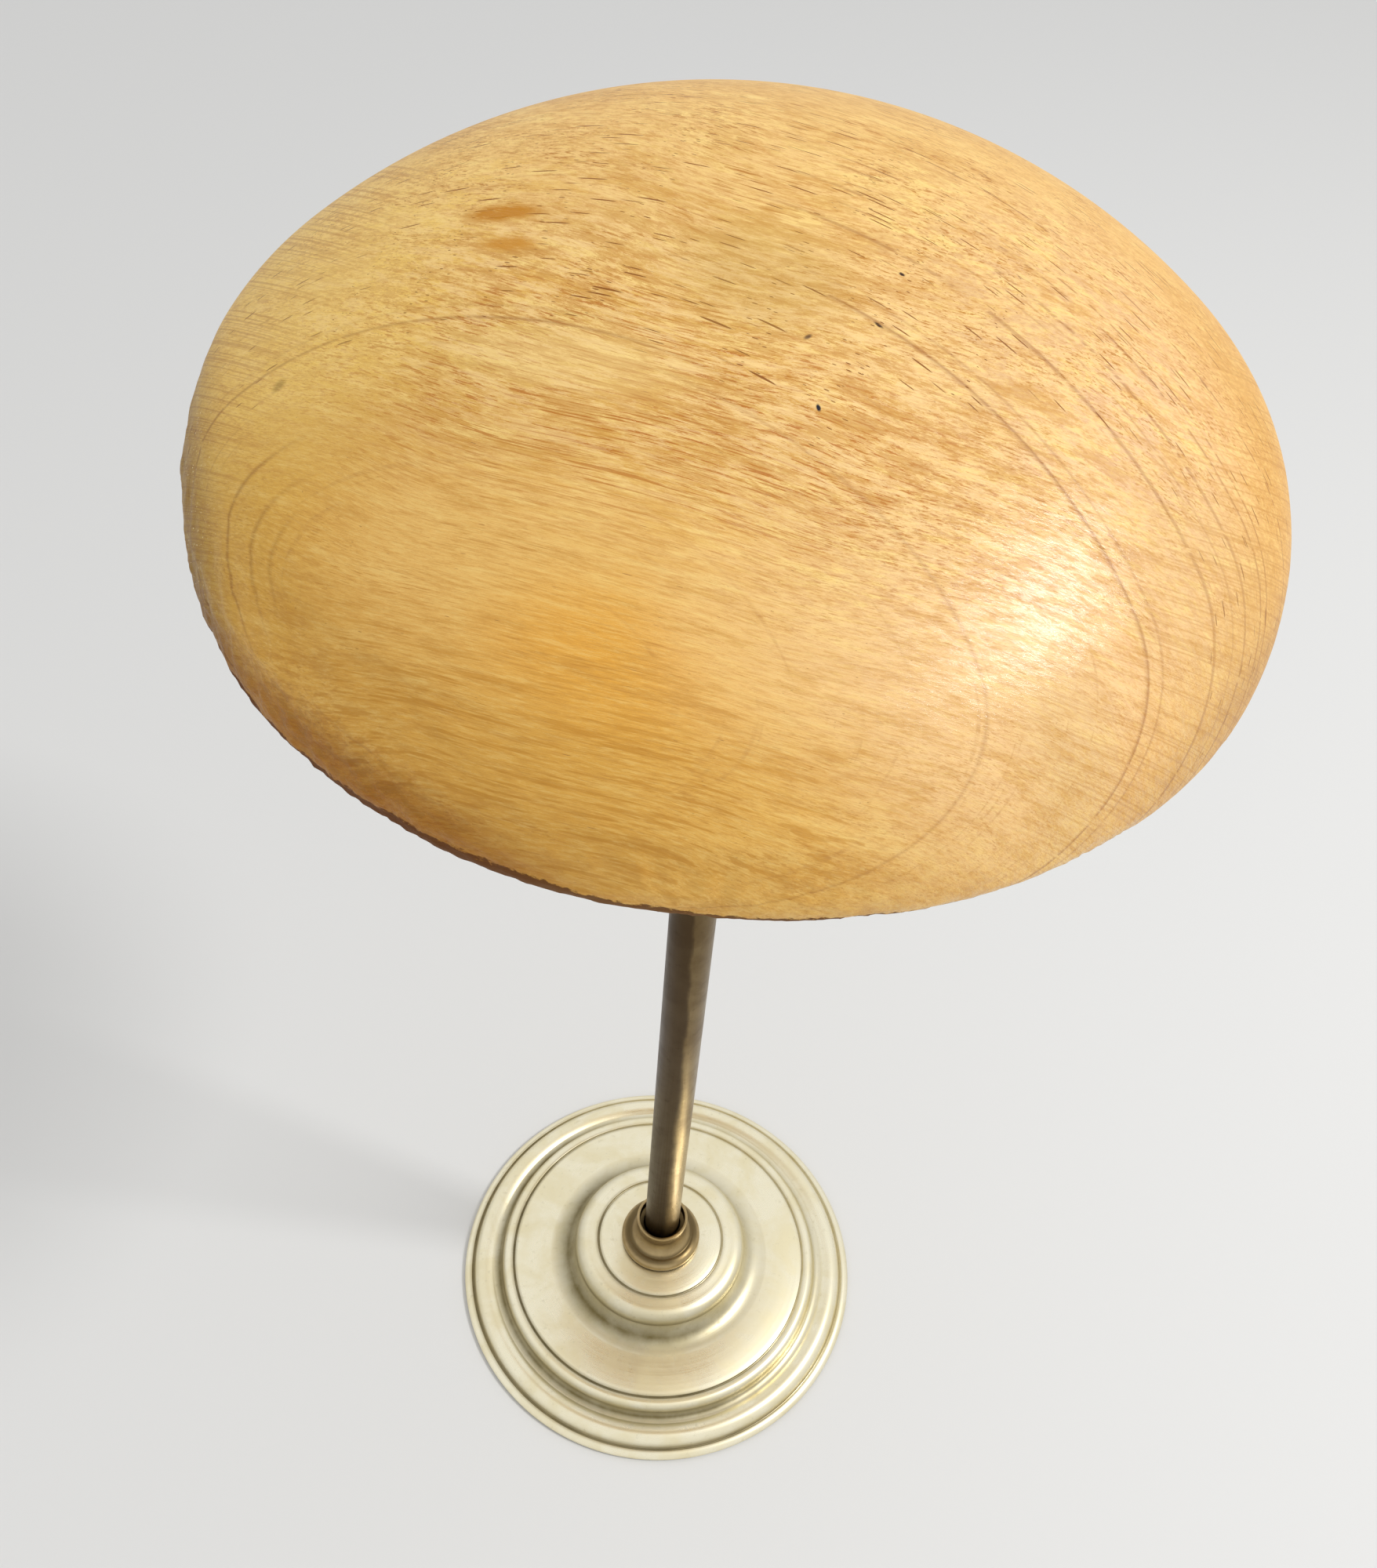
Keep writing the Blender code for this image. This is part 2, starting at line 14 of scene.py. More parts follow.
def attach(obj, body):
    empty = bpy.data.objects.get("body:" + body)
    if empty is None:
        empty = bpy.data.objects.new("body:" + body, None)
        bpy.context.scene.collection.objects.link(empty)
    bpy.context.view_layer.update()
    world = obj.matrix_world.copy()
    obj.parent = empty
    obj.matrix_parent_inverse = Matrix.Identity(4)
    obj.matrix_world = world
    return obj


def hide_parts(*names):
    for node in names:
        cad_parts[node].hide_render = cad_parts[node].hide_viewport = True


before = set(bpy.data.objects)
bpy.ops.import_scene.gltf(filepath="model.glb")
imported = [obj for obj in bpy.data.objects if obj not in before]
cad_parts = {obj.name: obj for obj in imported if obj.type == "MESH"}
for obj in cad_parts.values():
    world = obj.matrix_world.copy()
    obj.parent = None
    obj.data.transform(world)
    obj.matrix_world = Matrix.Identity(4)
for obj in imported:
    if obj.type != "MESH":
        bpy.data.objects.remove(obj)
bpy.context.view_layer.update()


# Baize pad: a disc of green wool baize glued under the weight, inside the shell's folded
# foot, so the stand doesn't mark a counter. It is die-cut, and its edge is slightly soft.
MM = 0.001
SAME_POINT = 0.0005 * MM
PAD_RADIUS = 53.2
PAD_THICKNESS = 1.2
PAD_SOFT_EDGE = 0.25
BAIZE_DEEP = (0.012, 0.07, 0.03, 1)
BAIZE_GREEN = (0.03, 0.14, 0.065, 1)
BAIZE_FIBRE = (0.09, 0.22, 0.12, 1)
BAIZE_WORN = (0.075, 0.15, 0.085, 1)


def put(kind, inputs, **settings):
    """Adds a shader node beside those that feed it. An input is a number, a colour or
    another node's output."""
    fed = {key: value for key, value in inputs.items() if isinstance(value, bpy.types.NodeSocket)}
    tree = next(iter(fed.values())).id_data
    made = tree.nodes.new("ShaderNode" + kind)
    for name, value in settings.items():
        setattr(made, name, value)
    for key, value in inputs.items():
        if key in fed:
            tree.links.new(value, made.inputs[key])
        else:
            made.inputs[key].default_value = value
    return made


def blend(share, first, second, how="MIX"):
    """Lays the second colour over the first, by the share."""
    colours = {"Factor": share, 6: first, 7: second}
    return put("Mix", colours, data_type="RGBA", blend_type=how).outputs[2]


def between(value, low, high, at_low=0.0, at_high=1.0):
    """Eases from one value to another while the input runs from low to high."""
    ends = {"Value": value, 1: low, 2: high, 3: at_low, 4: at_high}
    return put("MapRange", ends, interpolation_type="SMOOTHSTEP").outputs[0]


def scaled(vector, size):
    """Stretches a pattern's coordinates, so that one of its cells is as large as size."""
    node = put("Mapping", {"Vector": vector})
    node.inputs["Scale"].default_value = [1 / (length * MM) for length in size]
    return node.outputs[0]


def noise(vector, size, detail, rough, twist=0.0):
    """Cloudy noise whose clouds are about as large as size along each axis."""
    look = {"Scale": 1.0, "Detail": detail, "Roughness": rough, "Distortion": twist}
    return put("TexNoise", {"Vector": scaled(vector, size), **look}).outputs[0]


def new_finish(name, metallic=0.0):
    """A material with its shader, and the place on the piece in the piece's own coordinates."""
    made = bpy.data.materials.new(name)
    made.use_nodes = True
    shader = made.node_tree.nodes["Principled BSDF"]
    shader.inputs["Metallic"].default_value = metallic
    place = made.node_tree.nodes.new("ShaderNodeTexCoord").outputs["Object"]
    return made, shader, place


def wire(value, shader, name):
    """Leads a number or a colour into one of a shader's inputs."""
    shader.id_data.links.new(value, shader.inputs[name])


def relief(height, depth, shader, name="Normal"):
    """Gives a surface fine relief, as deep as depth from its lowest to its highest."""
    bump = put("Bump", {"Height": height, "Strength": 1.0, "Distance": depth * MM})
    wire(bump.outputs[0], shader, name)


def turn(name, outline, steps, soft=0.0, crisp=30):
    """Turns a piece on the lathe. The outline's (radius, height) points are drawn one after
    the other, its corners are softened, and it is spun about the stand's middle."""
    points = [(radius * MM, height * MM) for radius, height in outline]
    bpy.ops.object.select_all(action="DESELECT")
    bpy.ops.mesh.primitive_plane_add(size=MM, location=(points[0][0], 0, points[0][1]))
    piece = bpy.context.object
    piece.name = name
    piece.data.name = name
    bpy.ops.object.transform_apply(location=True, rotation=True, scale=True)
    bpy.ops.object.mode_set(mode="EDIT")
    bpy.ops.mesh.merge(type="CENTER")
    for before, after in zip(points, points[1:]):
        step = (after[0] - before[0], 0, after[1] - before[1])
        bpy.ops.mesh.extrude_region_move(TRANSFORM_OT_translate={"value": step})
    bpy.ops.mesh.select_all(action="SELECT")
    bpy.ops.mesh.remove_doubles(threshold=SAME_POINT)
    if soft:
        bpy.ops.mesh.bevel(affect="VERTICES", offset=soft * MM, segments=2)
    bpy.ops.object.mode_set(mode="OBJECT")
    bpy.ops.object.modifier_add(type="SCREW")
    lathe = piece.modifiers[-1]
    lathe.steps = steps
    lathe.render_steps = steps
    lathe.use_merge_vertices = True
    lathe.merge_threshold = SAME_POINT
    bpy.ops.object.modifier_apply(modifier=lathe.name)
    bpy.ops.object.mode_set(mode="EDIT")
    bpy.ops.mesh.select_all(action="SELECT")
    bpy.ops.mesh.remove_doubles(threshold=SAME_POINT)
    bpy.ops.mesh.normals_make_consistent(inside=False)
    bpy.ops.object.mode_set(mode="OBJECT")
    bpy.ops.object.shade_smooth_by_angle(angle=math.radians(crisp))
    return piece


def fit(piece, finish, slot, *nodes):
    """Gives a new piece its finish and puts it on the stand in place of its CAD nodes."""
    piece.data.materials.clear()
    piece.data.materials.append(finish)
    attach(piece, "root")
    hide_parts(*nodes)


def baize():
    """Pressed wool: deep green, with a short nap and paler fibres."""
    made, shader, place = new_finish("green_baize")
    tufts = noise(place, (0.5, 0.5, 0.5), detail=4, rough=0.7)
    fibres = noise(place, (2.5, 0.15, 0.15), detail=3, rough=0.6, twist=0.6)
    worn = noise(place, (14, 14, 14), detail=3, rough=0.5)
    green = blend(between(tufts, 0.3, 0.7), BAIZE_DEEP, BAIZE_GREEN)
    green = blend(between(fibres, 0.56, 0.7, 0, 0.5), green, BAIZE_FIBRE)
    green = blend(between(worn, 0.5, 0.75, 0, 0.35), green, BAIZE_WORN)
    wire(green, shader, "Base Color")
    shader.inputs["Roughness"].default_value = 0.95
    shader.inputs["Sheen Weight"].default_value = 0.3
    shader.inputs["Sheen Roughness"].default_value = 0.5
    relief(tufts, 0.35, shader)
    return made


pad_line = [
    (0, 0),
    (PAD_RADIUS - PAD_SOFT_EDGE, 0),
    (PAD_RADIUS, PAD_SOFT_EDGE),
    (PAD_RADIUS, PAD_THICKNESS - PAD_SOFT_EDGE),
    (PAD_RADIUS - PAD_SOFT_EDGE, PAD_THICKNESS),
    (0, PAD_THICKNESS),
]
pad = turn("baize_pad", pad_line, steps=160)
fit(pad, baize(), "green_baize", "base_pad")


# Weight: a disc of grey iron cast with a hub, which reaches up under the shell's crown,
# and with a recess below for the nut. It is left rough from the sand.
WEIGHT_RADIUS = 40.8
WEIGHT_BOTTOM = 1.5
WEIGHT_TOP = 7.2
HUB_RADIUS = 20.0
HUB_TOP = 18.0
NUT_RECESS_RADIUS = 11.5
NUT_RECESS_TOP = 12.5
ROD_HOLE = 3.3
IRON_DARK = (0.06, 0.06, 0.065, 1)
IRON_LIGHT = (0.17, 0.17, 0.175, 1)
IRON_RUST = (0.14, 0.055, 0.025, 1)


def cast_iron():
    """Rough cast iron, dark and faintly rusty."""
    made, shader, place = new_finish("cast_iron", 0.75)
    sand = noise(place, (0.7, 0.7, 0.7), detail=5, rough=0.65)
    rust = noise(place, (9, 9, 9), detail=4, rough=0.6)
    grey = blend(between(sand, 0.3, 0.7), IRON_DARK, IRON_LIGHT)
    grey = blend(between(rust, 0.56, 0.72, 0, 0.55), grey, IRON_RUST)
    wire(grey, shader, "Base Color")
    shader.inputs["Roughness"].default_value = 0.62
    relief(sand, 0.3, shader)
    return made


weight_line = [
    (ROD_HOLE, NUT_RECESS_TOP),
    (NUT_RECESS_RADIUS - 0.6, NUT_RECESS_TOP),
    (NUT_RECESS_RADIUS, NUT_RECESS_TOP - 0.6),
    (NUT_RECESS_RADIUS, WEIGHT_BOTTOM + 0.6),
    (NUT_RECESS_RADIUS + 0.6, WEIGHT_BOTTOM),
    (WEIGHT_RADIUS - 0.8, WEIGHT_BOTTOM),
    (WEIGHT_RADIUS, WEIGHT_BOTTOM + 0.8),
    (WEIGHT_RADIUS - 0.3, WEIGHT_TOP - 0.7),
    (WEIGHT_RADIUS - 1.0, WEIGHT_TOP),
    (HUB_RADIUS + 1.2, WEIGHT_TOP),
    (HUB_RADIUS, WEIGHT_TOP + 1.2),
    (HUB_RADIUS - 0.2, HUB_TOP - 4.7),
    (HUB_RADIUS - 5.2, HUB_TOP),
    (ROD_HOLE, HUB_TOP),
    (ROD_HOLE, NUT_RECESS_TOP),
]
weight = turn("cast_iron_weight", weight_line, steps=128, soft=0.3, crisp=40)
fit(weight, cast_iron(), "cast_iron", "base_weight")


# Plain washer: a stamped steel disc in the weight's recess, which spreads the pull of the
# nut over the iron. Its outer edges are tumbled, and it is zinc plated.
WASHER_RADIUS = 9.0
WASHER_BOTTOM = 10.6
WASHER_TOP = 12.2
ZINC_BLUE = (0.50, 0.51, 0.53, 1)
ZINC_PALE = (0.68, 0.67, 0.64, 1)


def zinc_plate():
    """Dull zinc plating, slightly blue, with paler and browner clouds."""
    made, shader, place = new_finish("zinc_plated_steel", 1.0)
    clouds = noise(place, (3, 3, 3), detail=4, rough=0.6)
    grey = blend(between(clouds, 0.35, 0.65), ZINC_BLUE, ZINC_PALE)
    wire(grey, shader, "Base Color")
    wire(between(clouds, 0.3, 0.7, 0.28, 0.45), shader, "Roughness")
    crystals = noise(place, (0.3, 0.3, 0.3), detail=3, rough=0.6)
    relief(crystals, 0.02, shader)
    return made


def ring_line(inner, outer, bottom, top, edge):
    """The outline of a flat ring whose outer edges are broken."""
    return [
        (inner, bottom),
        (outer - edge, bottom),
        (outer, bottom + edge),
        (outer, top - edge),
        (outer - edge, top),
        (inner, top),
        (inner, bottom),
    ]


zinc = zinc_plate()
washer_line = ring_line(ROD_HOLE, WASHER_RADIUS, WASHER_BOTTOM, WASHER_TOP, 0.25)
washer = turn("plain_washer", washer_line, steps=96)
fit(washer, zinc, "zinc_plated_steel", "clamp_washer")


# Spring washer: one coil of square steel wire, split at a slant, whose sprung ends keep
# the nut from working loose. It is zinc plated too.
SPRING_RADIUS = 5.5
SPRING_BOTTOM = 8.7
SPRING_TOP = 10.3
SPRING_SPLIT = 0.9
SPLIT_SLANT = 18


def take(piece):
    """Selects one piece and nothing else."""
    bpy.ops.object.select_all(action="DESELECT")
    bpy.context.view_layer.objects.active = piece
    piece.select_set(True)


def cut(piece, tool, operation="DIFFERENCE"):
    """Cuts a piece with a tool's shape, and clears the tool away."""
    take(piece)
    bpy.ops.object.modifier_add(type="BOOLEAN")
    step = piece.modifiers[-1]
    step.operation = operation
    step.solver = "EXACT"
    step.object = tool
    bpy.ops.object.modifier_apply(modifier=step.name)
    bpy.ops.object.shade_smooth_by_angle(angle=math.radians(30))
    bpy.data.objects.remove(tool, do_unlink=True)


def saw(middle, size, slant=0):
    """A square-cornered tool about a middle, leaning by a slant in degrees."""
    bpy.ops.object.select_all(action="DESELECT")
    bpy.ops.mesh.primitive_cube_add(
        size=MM,
        location=[length * MM for length in middle],
        rotation=(math.radians(slant), 0, 0),
        scale=size,
    )
    bpy.ops.object.transform_apply(location=True, rotation=True, scale=True)
    return bpy.context.object


spring_line = ring_line(ROD_HOLE, SPRING_RADIUS, SPRING_BOTTOM, SPRING_TOP, 0.1)
spring = turn("split_spring_washer", spring_line, steps=96)
split_middle = ((ROD_HOLE + SPRING_RADIUS) / 2, 0, (SPRING_BOTTOM + SPRING_TOP) / 2)
cut(spring, saw(split_middle, (3.6, SPRING_SPLIT, 4.0), SPLIT_SLANT))
fit(spring, zinc, "zinc_plated_steel", "spring_washer")


# Nut: a zinc-plated steel hexagon nut, turned to a chamfer at both ends before its flats
# are cut. It draws the weight, shell, collar, stem, flange and head together.
NUT_BLANK_RADIUS = 5.77
NUT_CORNER_RADIUS = 5.7735
NUT_CHAMFER = 0.6
NUT_BOTTOM = 3.4
NUT_TOP = 8.4

nut_line = ring_line(ROD_HOLE, NUT_BLANK_RADIUS, NUT_BOTTOM, NUT_TOP, NUT_CHAMFER)
nut = turn("hexagon_nut", nut_line, steps=96)
bpy.ops.object.select_all(action="DESELECT")
bpy.ops.mesh.primitive_cylinder_add(
    vertices=6,
    radius=NUT_CORNER_RADIUS * MM,
    depth=7 * MM,
    location=(0, 0, (NUT_BOTTOM + NUT_TOP) / 2 * MM),
    rotation=(0, 0, math.pi / 6),
)
bpy.ops.object.transform_apply(location=True, rotation=True, scale=True)
cut(nut, bpy.context.object, "INTERSECT")
fit(nut, zinc, "zinc_plated_steel", "clamp_nut")


# Tie rod: 6 mm steel rod, threaded at both ends and zinc plated. It runs from the nut up
# through the stem and the flange into the head, and is hidden all the way.
ROD_RADIUS = 3.0
ROD_THREAD_ROOT = 2.65
ROD_POINT_RADIUS = 2.5
ROD_POINT = 0.5
ROD_BOTTOM = 2.4
ROD_TOP = 272.4
LOWER_THREAD_END = 20.9
UPPER_THREAD_START = 254.9


def thread(bottom, top):
    """Points up the side of a screwed rod, root and crest in turn, half a millimetre apart."""
    points = []
    for step in range(int((top - bottom) * 2)):
        points.append((ROD_RADIUS if step % 2 else ROD_THREAD_ROOT, bottom + step / 2))
    return points


rod_line = [(0, ROD_BOTTOM), (ROD_POINT_RADIUS, ROD_BOTTOM)]
rod_line += thread(ROD_BOTTOM + ROD_POINT, LOWER_THREAD_END)
rod_line += [(ROD_RADIUS, LOWER_THREAD_END), (ROD_RADIUS, UPPER_THREAD_START - ROD_POINT)]
rod_line += thread(UPPER_THREAD_START, ROD_TOP - ROD_POINT)
rod_line += [(ROD_POINT_RADIUS, ROD_TOP), (0, ROD_TOP)]
rod = turn("screwed_tie_rod", rod_line, steps=64)
fit(rod, zinc, "zinc_plated_steel", "tie_rod")


# Base shell: brass sheet spun over a former into stepped mouldings, with its rim folded
# under as a foot. It was polished on the lathe; its coves and grooves have dulled and carry painted
# shade.
FOOT_EDGE = (56.9, 1.2)
FOOT_BOTTOM = 0.6
FOOT_FOLD_RADIUS = 53.7
SHELL_WALL = 1.2
SHELL_BORE = 6.0
SHELL_TOP = 20.4
GROOVE_WIDTH = 0.7
GROOVE_DEPTH = 0.5
SHELL_PALE = (0.89, 0.83, 0.63, 1)
SHELL_DEEP = (0.82, 0.74, 0.50, 1)
SHELL_GRIME_AND_SHADE = (0.15, 0.115, 0.04, 1)
SHELL_REACH = 58.0
# The radius of each groove or cove that holds dirt and painted shade, how far it spreads, and how
# thick.
SHELL_HOLLOWS = (
    (17.8, 1.1, 0.75),
    (26.6, 5.2, 1.0),
    (42.35, 1.1, 0.85),
    (46.6, 2.2, 1.0),
    (54.55, 1.1, 0.75),
)


def bow(line, width, rise, swell, steps):
    """Adds a moulding to a line of points, inwards by width and up by rise. It stands off
    its chord by swell, or is hollow where swell is negative."""
    start = Vector(line[-1])
    chord = Vector((-width, rise))
    off = Vector((chord.y, -chord.x)).normalized()
    for step in range(1, steps + 1):
        along = step / steps
        line.append(tuple(start + chord * along + off * swell * 4 * along * (1 - along)))


def groove(line, depth, steps):
    """Adds a small round-lipped groove to a line of points."""
    start = Vector(line[-1])
    for step in range(1, steps + 1):
        along = step / steps
        dip = depth * (1 - math.cos(math.tau * along)) / 2
        line.append(tuple(start + Vector((-GROOVE_WIDTH * along, -dip))))


def shell_line(fine, grooved):
    """The shell's line from its foot's edge to the collar's seat. Only the outside has the
    three grooves."""
    depth, steps = (GROOVE_DEPTH, 6) if grooved else (0.0, 1)
    line = [FOOT_EDGE]
    bow(line, 2.0, 1.2, 0.3, fine)  # the rim
    groove(line, depth, steps)
    bow(line, 6.0, 2.2, 1.8, 2 * fine)  # a broad round
    bow(line, 2.5, 2.2, -0.8, fine)  # the narrow cove above it
    bow(line, 3.0, 1.9, 0.8, fine)  # a small bead
    groove(line, depth, steps)
    bow(line, 10.5, 1.4, 0.2, fine)  # the broad, nearly flat field
    bow(line, 7.1, 4.4, -1.6, 2 * fine)  # the large cove
    bow(line, 4.1, 4.6, 1.5, 2 * fine)  # the round of the upper step
    bow(line, 2.2, 0.4, 0.0, 2)  # a flat fillet
    groove(line, depth, steps)
    bow(line, 6.3, 0.9, 0.2, fine)  # the crown under the collar
    return line


def inner_line(line, wall):
    """The same line moved inwards, square to itself, by the sheet's thickness."""
    moved = []
    for index, point in enumerate(line):
        before = Vector(line[max(index - 1, 0)])
        after = Vector(line[min(index + 1, len(line) - 1)])
        run = (after - before).normalized()
        inwards = Vector((-run.y, run.x))
        if inwards.y > 0:
            inwards.negate()
        moved.append(tuple(Vector(point) + inwards * wall))
    return moved


def maths(operation, first, second=0.0):
    """One step of arithmetic on two numbers."""
    return put("Math", {0: first, 1: second}, operation=operation).outputs[0]


def times(*values):
    """The product of several numbers."""
    product = values[0]
    for value in values[1:]:
        product = maths("MULTIPLY", product, value)
    return product


def vectors(operation, first, second=(0, 0, 0), result="Vector"):
    """One step of arithmetic on two vectors."""
    return put("VectorMath", {0: first, 1: second}, operation=operation).outputs[result]


def xyz(across, front, up):
    """A vector from three numbers."""
    return put("CombineXYZ", {0: across, 1: front, 2: up}).outputs[0]


def between_mm(length, low, high, at_low=0.0, at_high=1.0):
    """Eases from one value to another while a length on the piece runs from low to high."""
    return between(length, low * MM, high * MM, at_low, at_high)


def lathe_place(place):
    """How far a place is from the stand's middle line, and how high it is."""
    across, front, height = put("SeparateXYZ", {0: place}).outputs
    return vectors("LENGTH", xyz(across, front, 0.0), result="Value"), height


def traced(length, low, high, stops):
    """A value that passes through stops, each a share of the way from low to high and the
    value there."""
    share = put("MapRange", {"Value": length, 1: low * MM, 2: high * MM}).outputs[0]
    ramp = put("ValToRGB", {0: share})
    bar = ramp.color_ramp.elements
    while len(bar) < len(stops):
        bar.new(0.5)
    for element, (at, value) in zip(bar, stops):
        element.position = at
        element.color = (value, value, value, 1)
    return ramp.outputs[0]


def brass(name, streak, tones, dirt_and_shade, roughness, dulled, scratches):
    """Lightly worn brass. Its tones are a pale one, a deep one and a dark one for grime and painted
    shade, laid where the given function says. Its polishing lines run round the piece or along it, as
    streak says. Dulled is how much rougher that grime makes it, and scratches how deep its lines are."""
    pale, deep, grime_and_shade = tones
    made, shader, place = new_finish(name, 1.0)
    if streak == "round":
        radius, height = lathe_place(place)
        lines = noise(xyz(radius, 0.0, height), (0.16, 0.16, 0.16), detail=4, rough=0.7)
    else:
        lines = noise(place, (0.18, 0.18, 45), detail=4, rough=0.7)
    clouds = noise(place, (11, 11, 11), detail=4, rough=0.6, twist=0.4)
    mottle = noise(place, (1.6, 1.6, 1.6), detail=4, rough=0.65)
    dark = [channel * 0.7 for channel in deep[:3]] + [1]
    gold = blend(between(clouds, 0.35, 0.68), pale, deep)
    gold = blend(between(mottle, 0.58, 0.72, 0, 0.35), gold, dark)
    gold = blend(between(lines, 0.6, 0.8, 0, 0.25), gold, dark)
    dull = between(clouds, 0.3, 0.75, roughness, roughness + 0.09)
    dull = maths("ADD", dull, between(lines, 0.35, 0.7, -0.03, 0.05))
    dull = maths("ADD", dull, between(mottle, 0.55, 0.75, 0, 0.08))
    # The dark tone is laid as grime together with painted shade.
    share = dirt_and_shade(place)
    wire(blend(share, gold, grime_and_shade), shader, "Base Color")
    dull = maths("ADD", dull, times(share, dulled))
    wire(dull, shader, "Roughness")
    relief(lines, scratches, shader)
    return made


def shell_dirt_and_shade(place):
    """Dirt and old polish with painted shade in the shell's hollows, and more painted shade on the
    left in front.
    """
    stops = [(0.0, 0.0)]
    for middle, spread, thick in SHELL_HOLLOWS:
        stops += [(middle - spread, 0.0), (middle, thick), (middle + spread, 0.0)]
    radius, _ = lathe_place(place)
    rings = traced(radius, 0.0, SHELL_REACH, [(at / SHELL_REACH, thick) for at, thick in stops])
    uneven = noise(place, (7, 7, 7), detail=4, rough=0.6)
    uneven = between(uneven, 0.25, 0.7, 0.8, 1.0)
    # Painted shade: the hollows darken more on the left in front.
    side = vectors("DOT_PRODUCT", place, (-0.8, -0.6, 0), result="Value")
    return times(rings, uneven, between_mm(side, -26, 16, 0.4, 1.0))


shell_inside = inner_line(shell_line(3, False)[5:], SHELL_WALL)
shell_outline = [(FOOT_FOLD_RADIUS, FOOT_BOTTOM), (FOOT_EDGE[0], FOOT_BOTTOM)]
shell_outline += shell_line(7, True)
shell_outline += [(SHELL_BORE, SHELL_TOP), (SHELL_BORE, SHELL_TOP - SHELL_WALL)]
shell_outline += list(reversed(shell_inside[:-1])) + [(FOOT_FOLD_RADIUS, FOOT_BOTTOM)]
shell = turn("spun_base_shell", shell_outline, steps=240, soft=0.12, crisp=40)
shell_tones = (SHELL_PALE, SHELL_DEEP, SHELL_GRIME_AND_SHADE)
shell_brass = brass(
    "polished_brass", "round", shell_tones, shell_dirt_and_shade, roughness=0.27, dulled=0.22, scratches=0.004
)
fit(shell, shell_brass, "polished_brass", "base_shell")


# Collar: a turned brass fitting that seats on the shell's crown. It has a bead at its
# foot, a waisted neck, and a small open cup from which the stem rises.
COLLAR_BOTTOM = 19.7
COLLAR_SEAT = 20.7
SPIGOT_RADIUS = 5.7
BEAD_RADIUS = 10.8
BEAD_TOP = 24.0
NECK_FOOT_RADIUS = 8.7
CUP_RADIUS = 7.06
CUP_BORE = 6.26
CUP_FLOOR = 30.2
CUP_TOP = 33.2
STEM_SOCKET = 5.06
STEM_SOCKET_FLOOR = 23.7
# The collar's brass tones are dark and brown, partly from age and partly as painted shade.
COLLAR_PALE = (0.46, 0.345, 0.175, 1)
COLLAR_DEEP = (0.31, 0.22, 0.10, 1)
COLLAR_GRIME_AND_SHADE = (0.10, 0.07, 0.03, 1)


def collar_line():
    """The collar's outline, from its spigot round to its socket."""
    line = [(ROD_HOLE, COLLAR_BOTTOM), (SPIGOT_RADIUS, COLLAR_BOTTOM)]
    line += [(SPIGOT_RADIUS, COLLAR_SEAT), (BEAD_RADIUS, COLLAR_SEAT)]
    bow(line, 1.5, BEAD_TOP - COLLAR_SEAT, 1.0, 12)
    line.append((NECK_FOOT_RADIUS, BEAD_TOP))
    bow(line, 2.24, 4.6, -0.6, 10)
    line += [(CUP_RADIUS, CUP_TOP - 0.8), (CUP_RADIUS, CUP_TOP), (CUP_BORE, CUP_TOP)]
    line += [(CUP_BORE, CUP_FLOOR), (STEM_SOCKET, CUP_FLOOR), (STEM_SOCKET, STEM_SOCKET_FLOOR)]
    line += [(ROD_HOLE, STEM_SOCKET_FLOOR), (ROD_HOLE, COLLAR_BOTTOM)]
    return line


def collar_dirt_and_shade(place):
    """Dirt and painted shade inside the cup, in the step on top of the bead, and along the foot."""
    radius, height = lathe_place(place)
    cup = between_mm(radius, CUP_BORE + 0.14, CUP_BORE - 0.16)
    cup = times(cup, between_mm(height, CUP_TOP + 0.2, CUP_TOP - 0.8))
    step = between_mm(height, BEAD_TOP + 0.9, BEAD_TOP + 0.1)
    step = times(step, between_mm(height, BEAD_TOP - 0.8, BEAD_TOP - 0.1))
    foot = between_mm(height, COLLAR_SEAT + 0.9, COLLAR_SEAT + 0.1)
    dirt_and_shade = maths("MAXIMUM", maths("MAXIMUM", cup, step), foot)
    return times(dirt_and_shade, 0.85)


collar_tones = (COLLAR_PALE, COLLAR_DEEP, COLLAR_GRIME_AND_SHADE)
turned_brass = brass(
    "turned_brass", "round", collar_tones, collar_dirt_and_shade, roughness=0.30, dulled=0.0, scratches=0.005
)
collar = turn("stem_collar_turned", collar_line(), steps=128, soft=0.15, crisp=40)
fit(collar, turned_brass, "polished_brass", "stem_collar")


# Stem: 3/8 inch drawn brass tube, with one wall thickness all the way and its cut ends
# hidden in the collar and in the flange. Handling has dulled it in long streaks.
STEM_RADIUS = 4.76
STEM_BORE = 3.76
STEM_BOTTOM = 24.0
STEM_TOP = 263.1
# The stem's brass tones are dark and brown, partly from age and partly as painted shade.
STEM_PALE = (0.46, 0.335, 0.155, 1)
STEM_DEEP = (0.29, 0.195, 0.08, 1)
STEM_PATINA_AND_SHADE = (0.05, 0.028, 0.012, 1)
# The heights where darkening begins and where it is full, and how strong it is: ageing down
# to the collar, and painted shade of the head up towards it.
STEM_AGEING_AND_SHADE = ((46, 33, 0.6), (60, 170, 0.85))


def stem_patina_and_shade(place):
    """Old brown patina in handled patches and down at the collar, and painted shade that darkens
    it up towards the head and all along the left side."""
    _, height = lathe_place(place)
    hands = noise(place, (7, 7, 22), detail=4, rough=0.6)
    brown = between(hands, 0.5, 0.72, 0, 0.6)
    for clear, full, strength in STEM_AGEING_AND_SHADE:
        brown = maths("MAXIMUM", brown, between_mm(height, clear, full, 0, strength))
    # Painted shade: the whole left side of the stem is darkened.
    side = vectors("DOT_PRODUCT", place, (-0.85, -0.5, 0), result="Value")
    wander = between(hands, 0.3, 0.7, -0.5 * MM, 0.5 * MM)
    side = between_mm(maths("ADD", side, wander), 0.0, 2.2)
    return maths("MAXIMUM", times(brown, 0.75), times(side, 0.92))


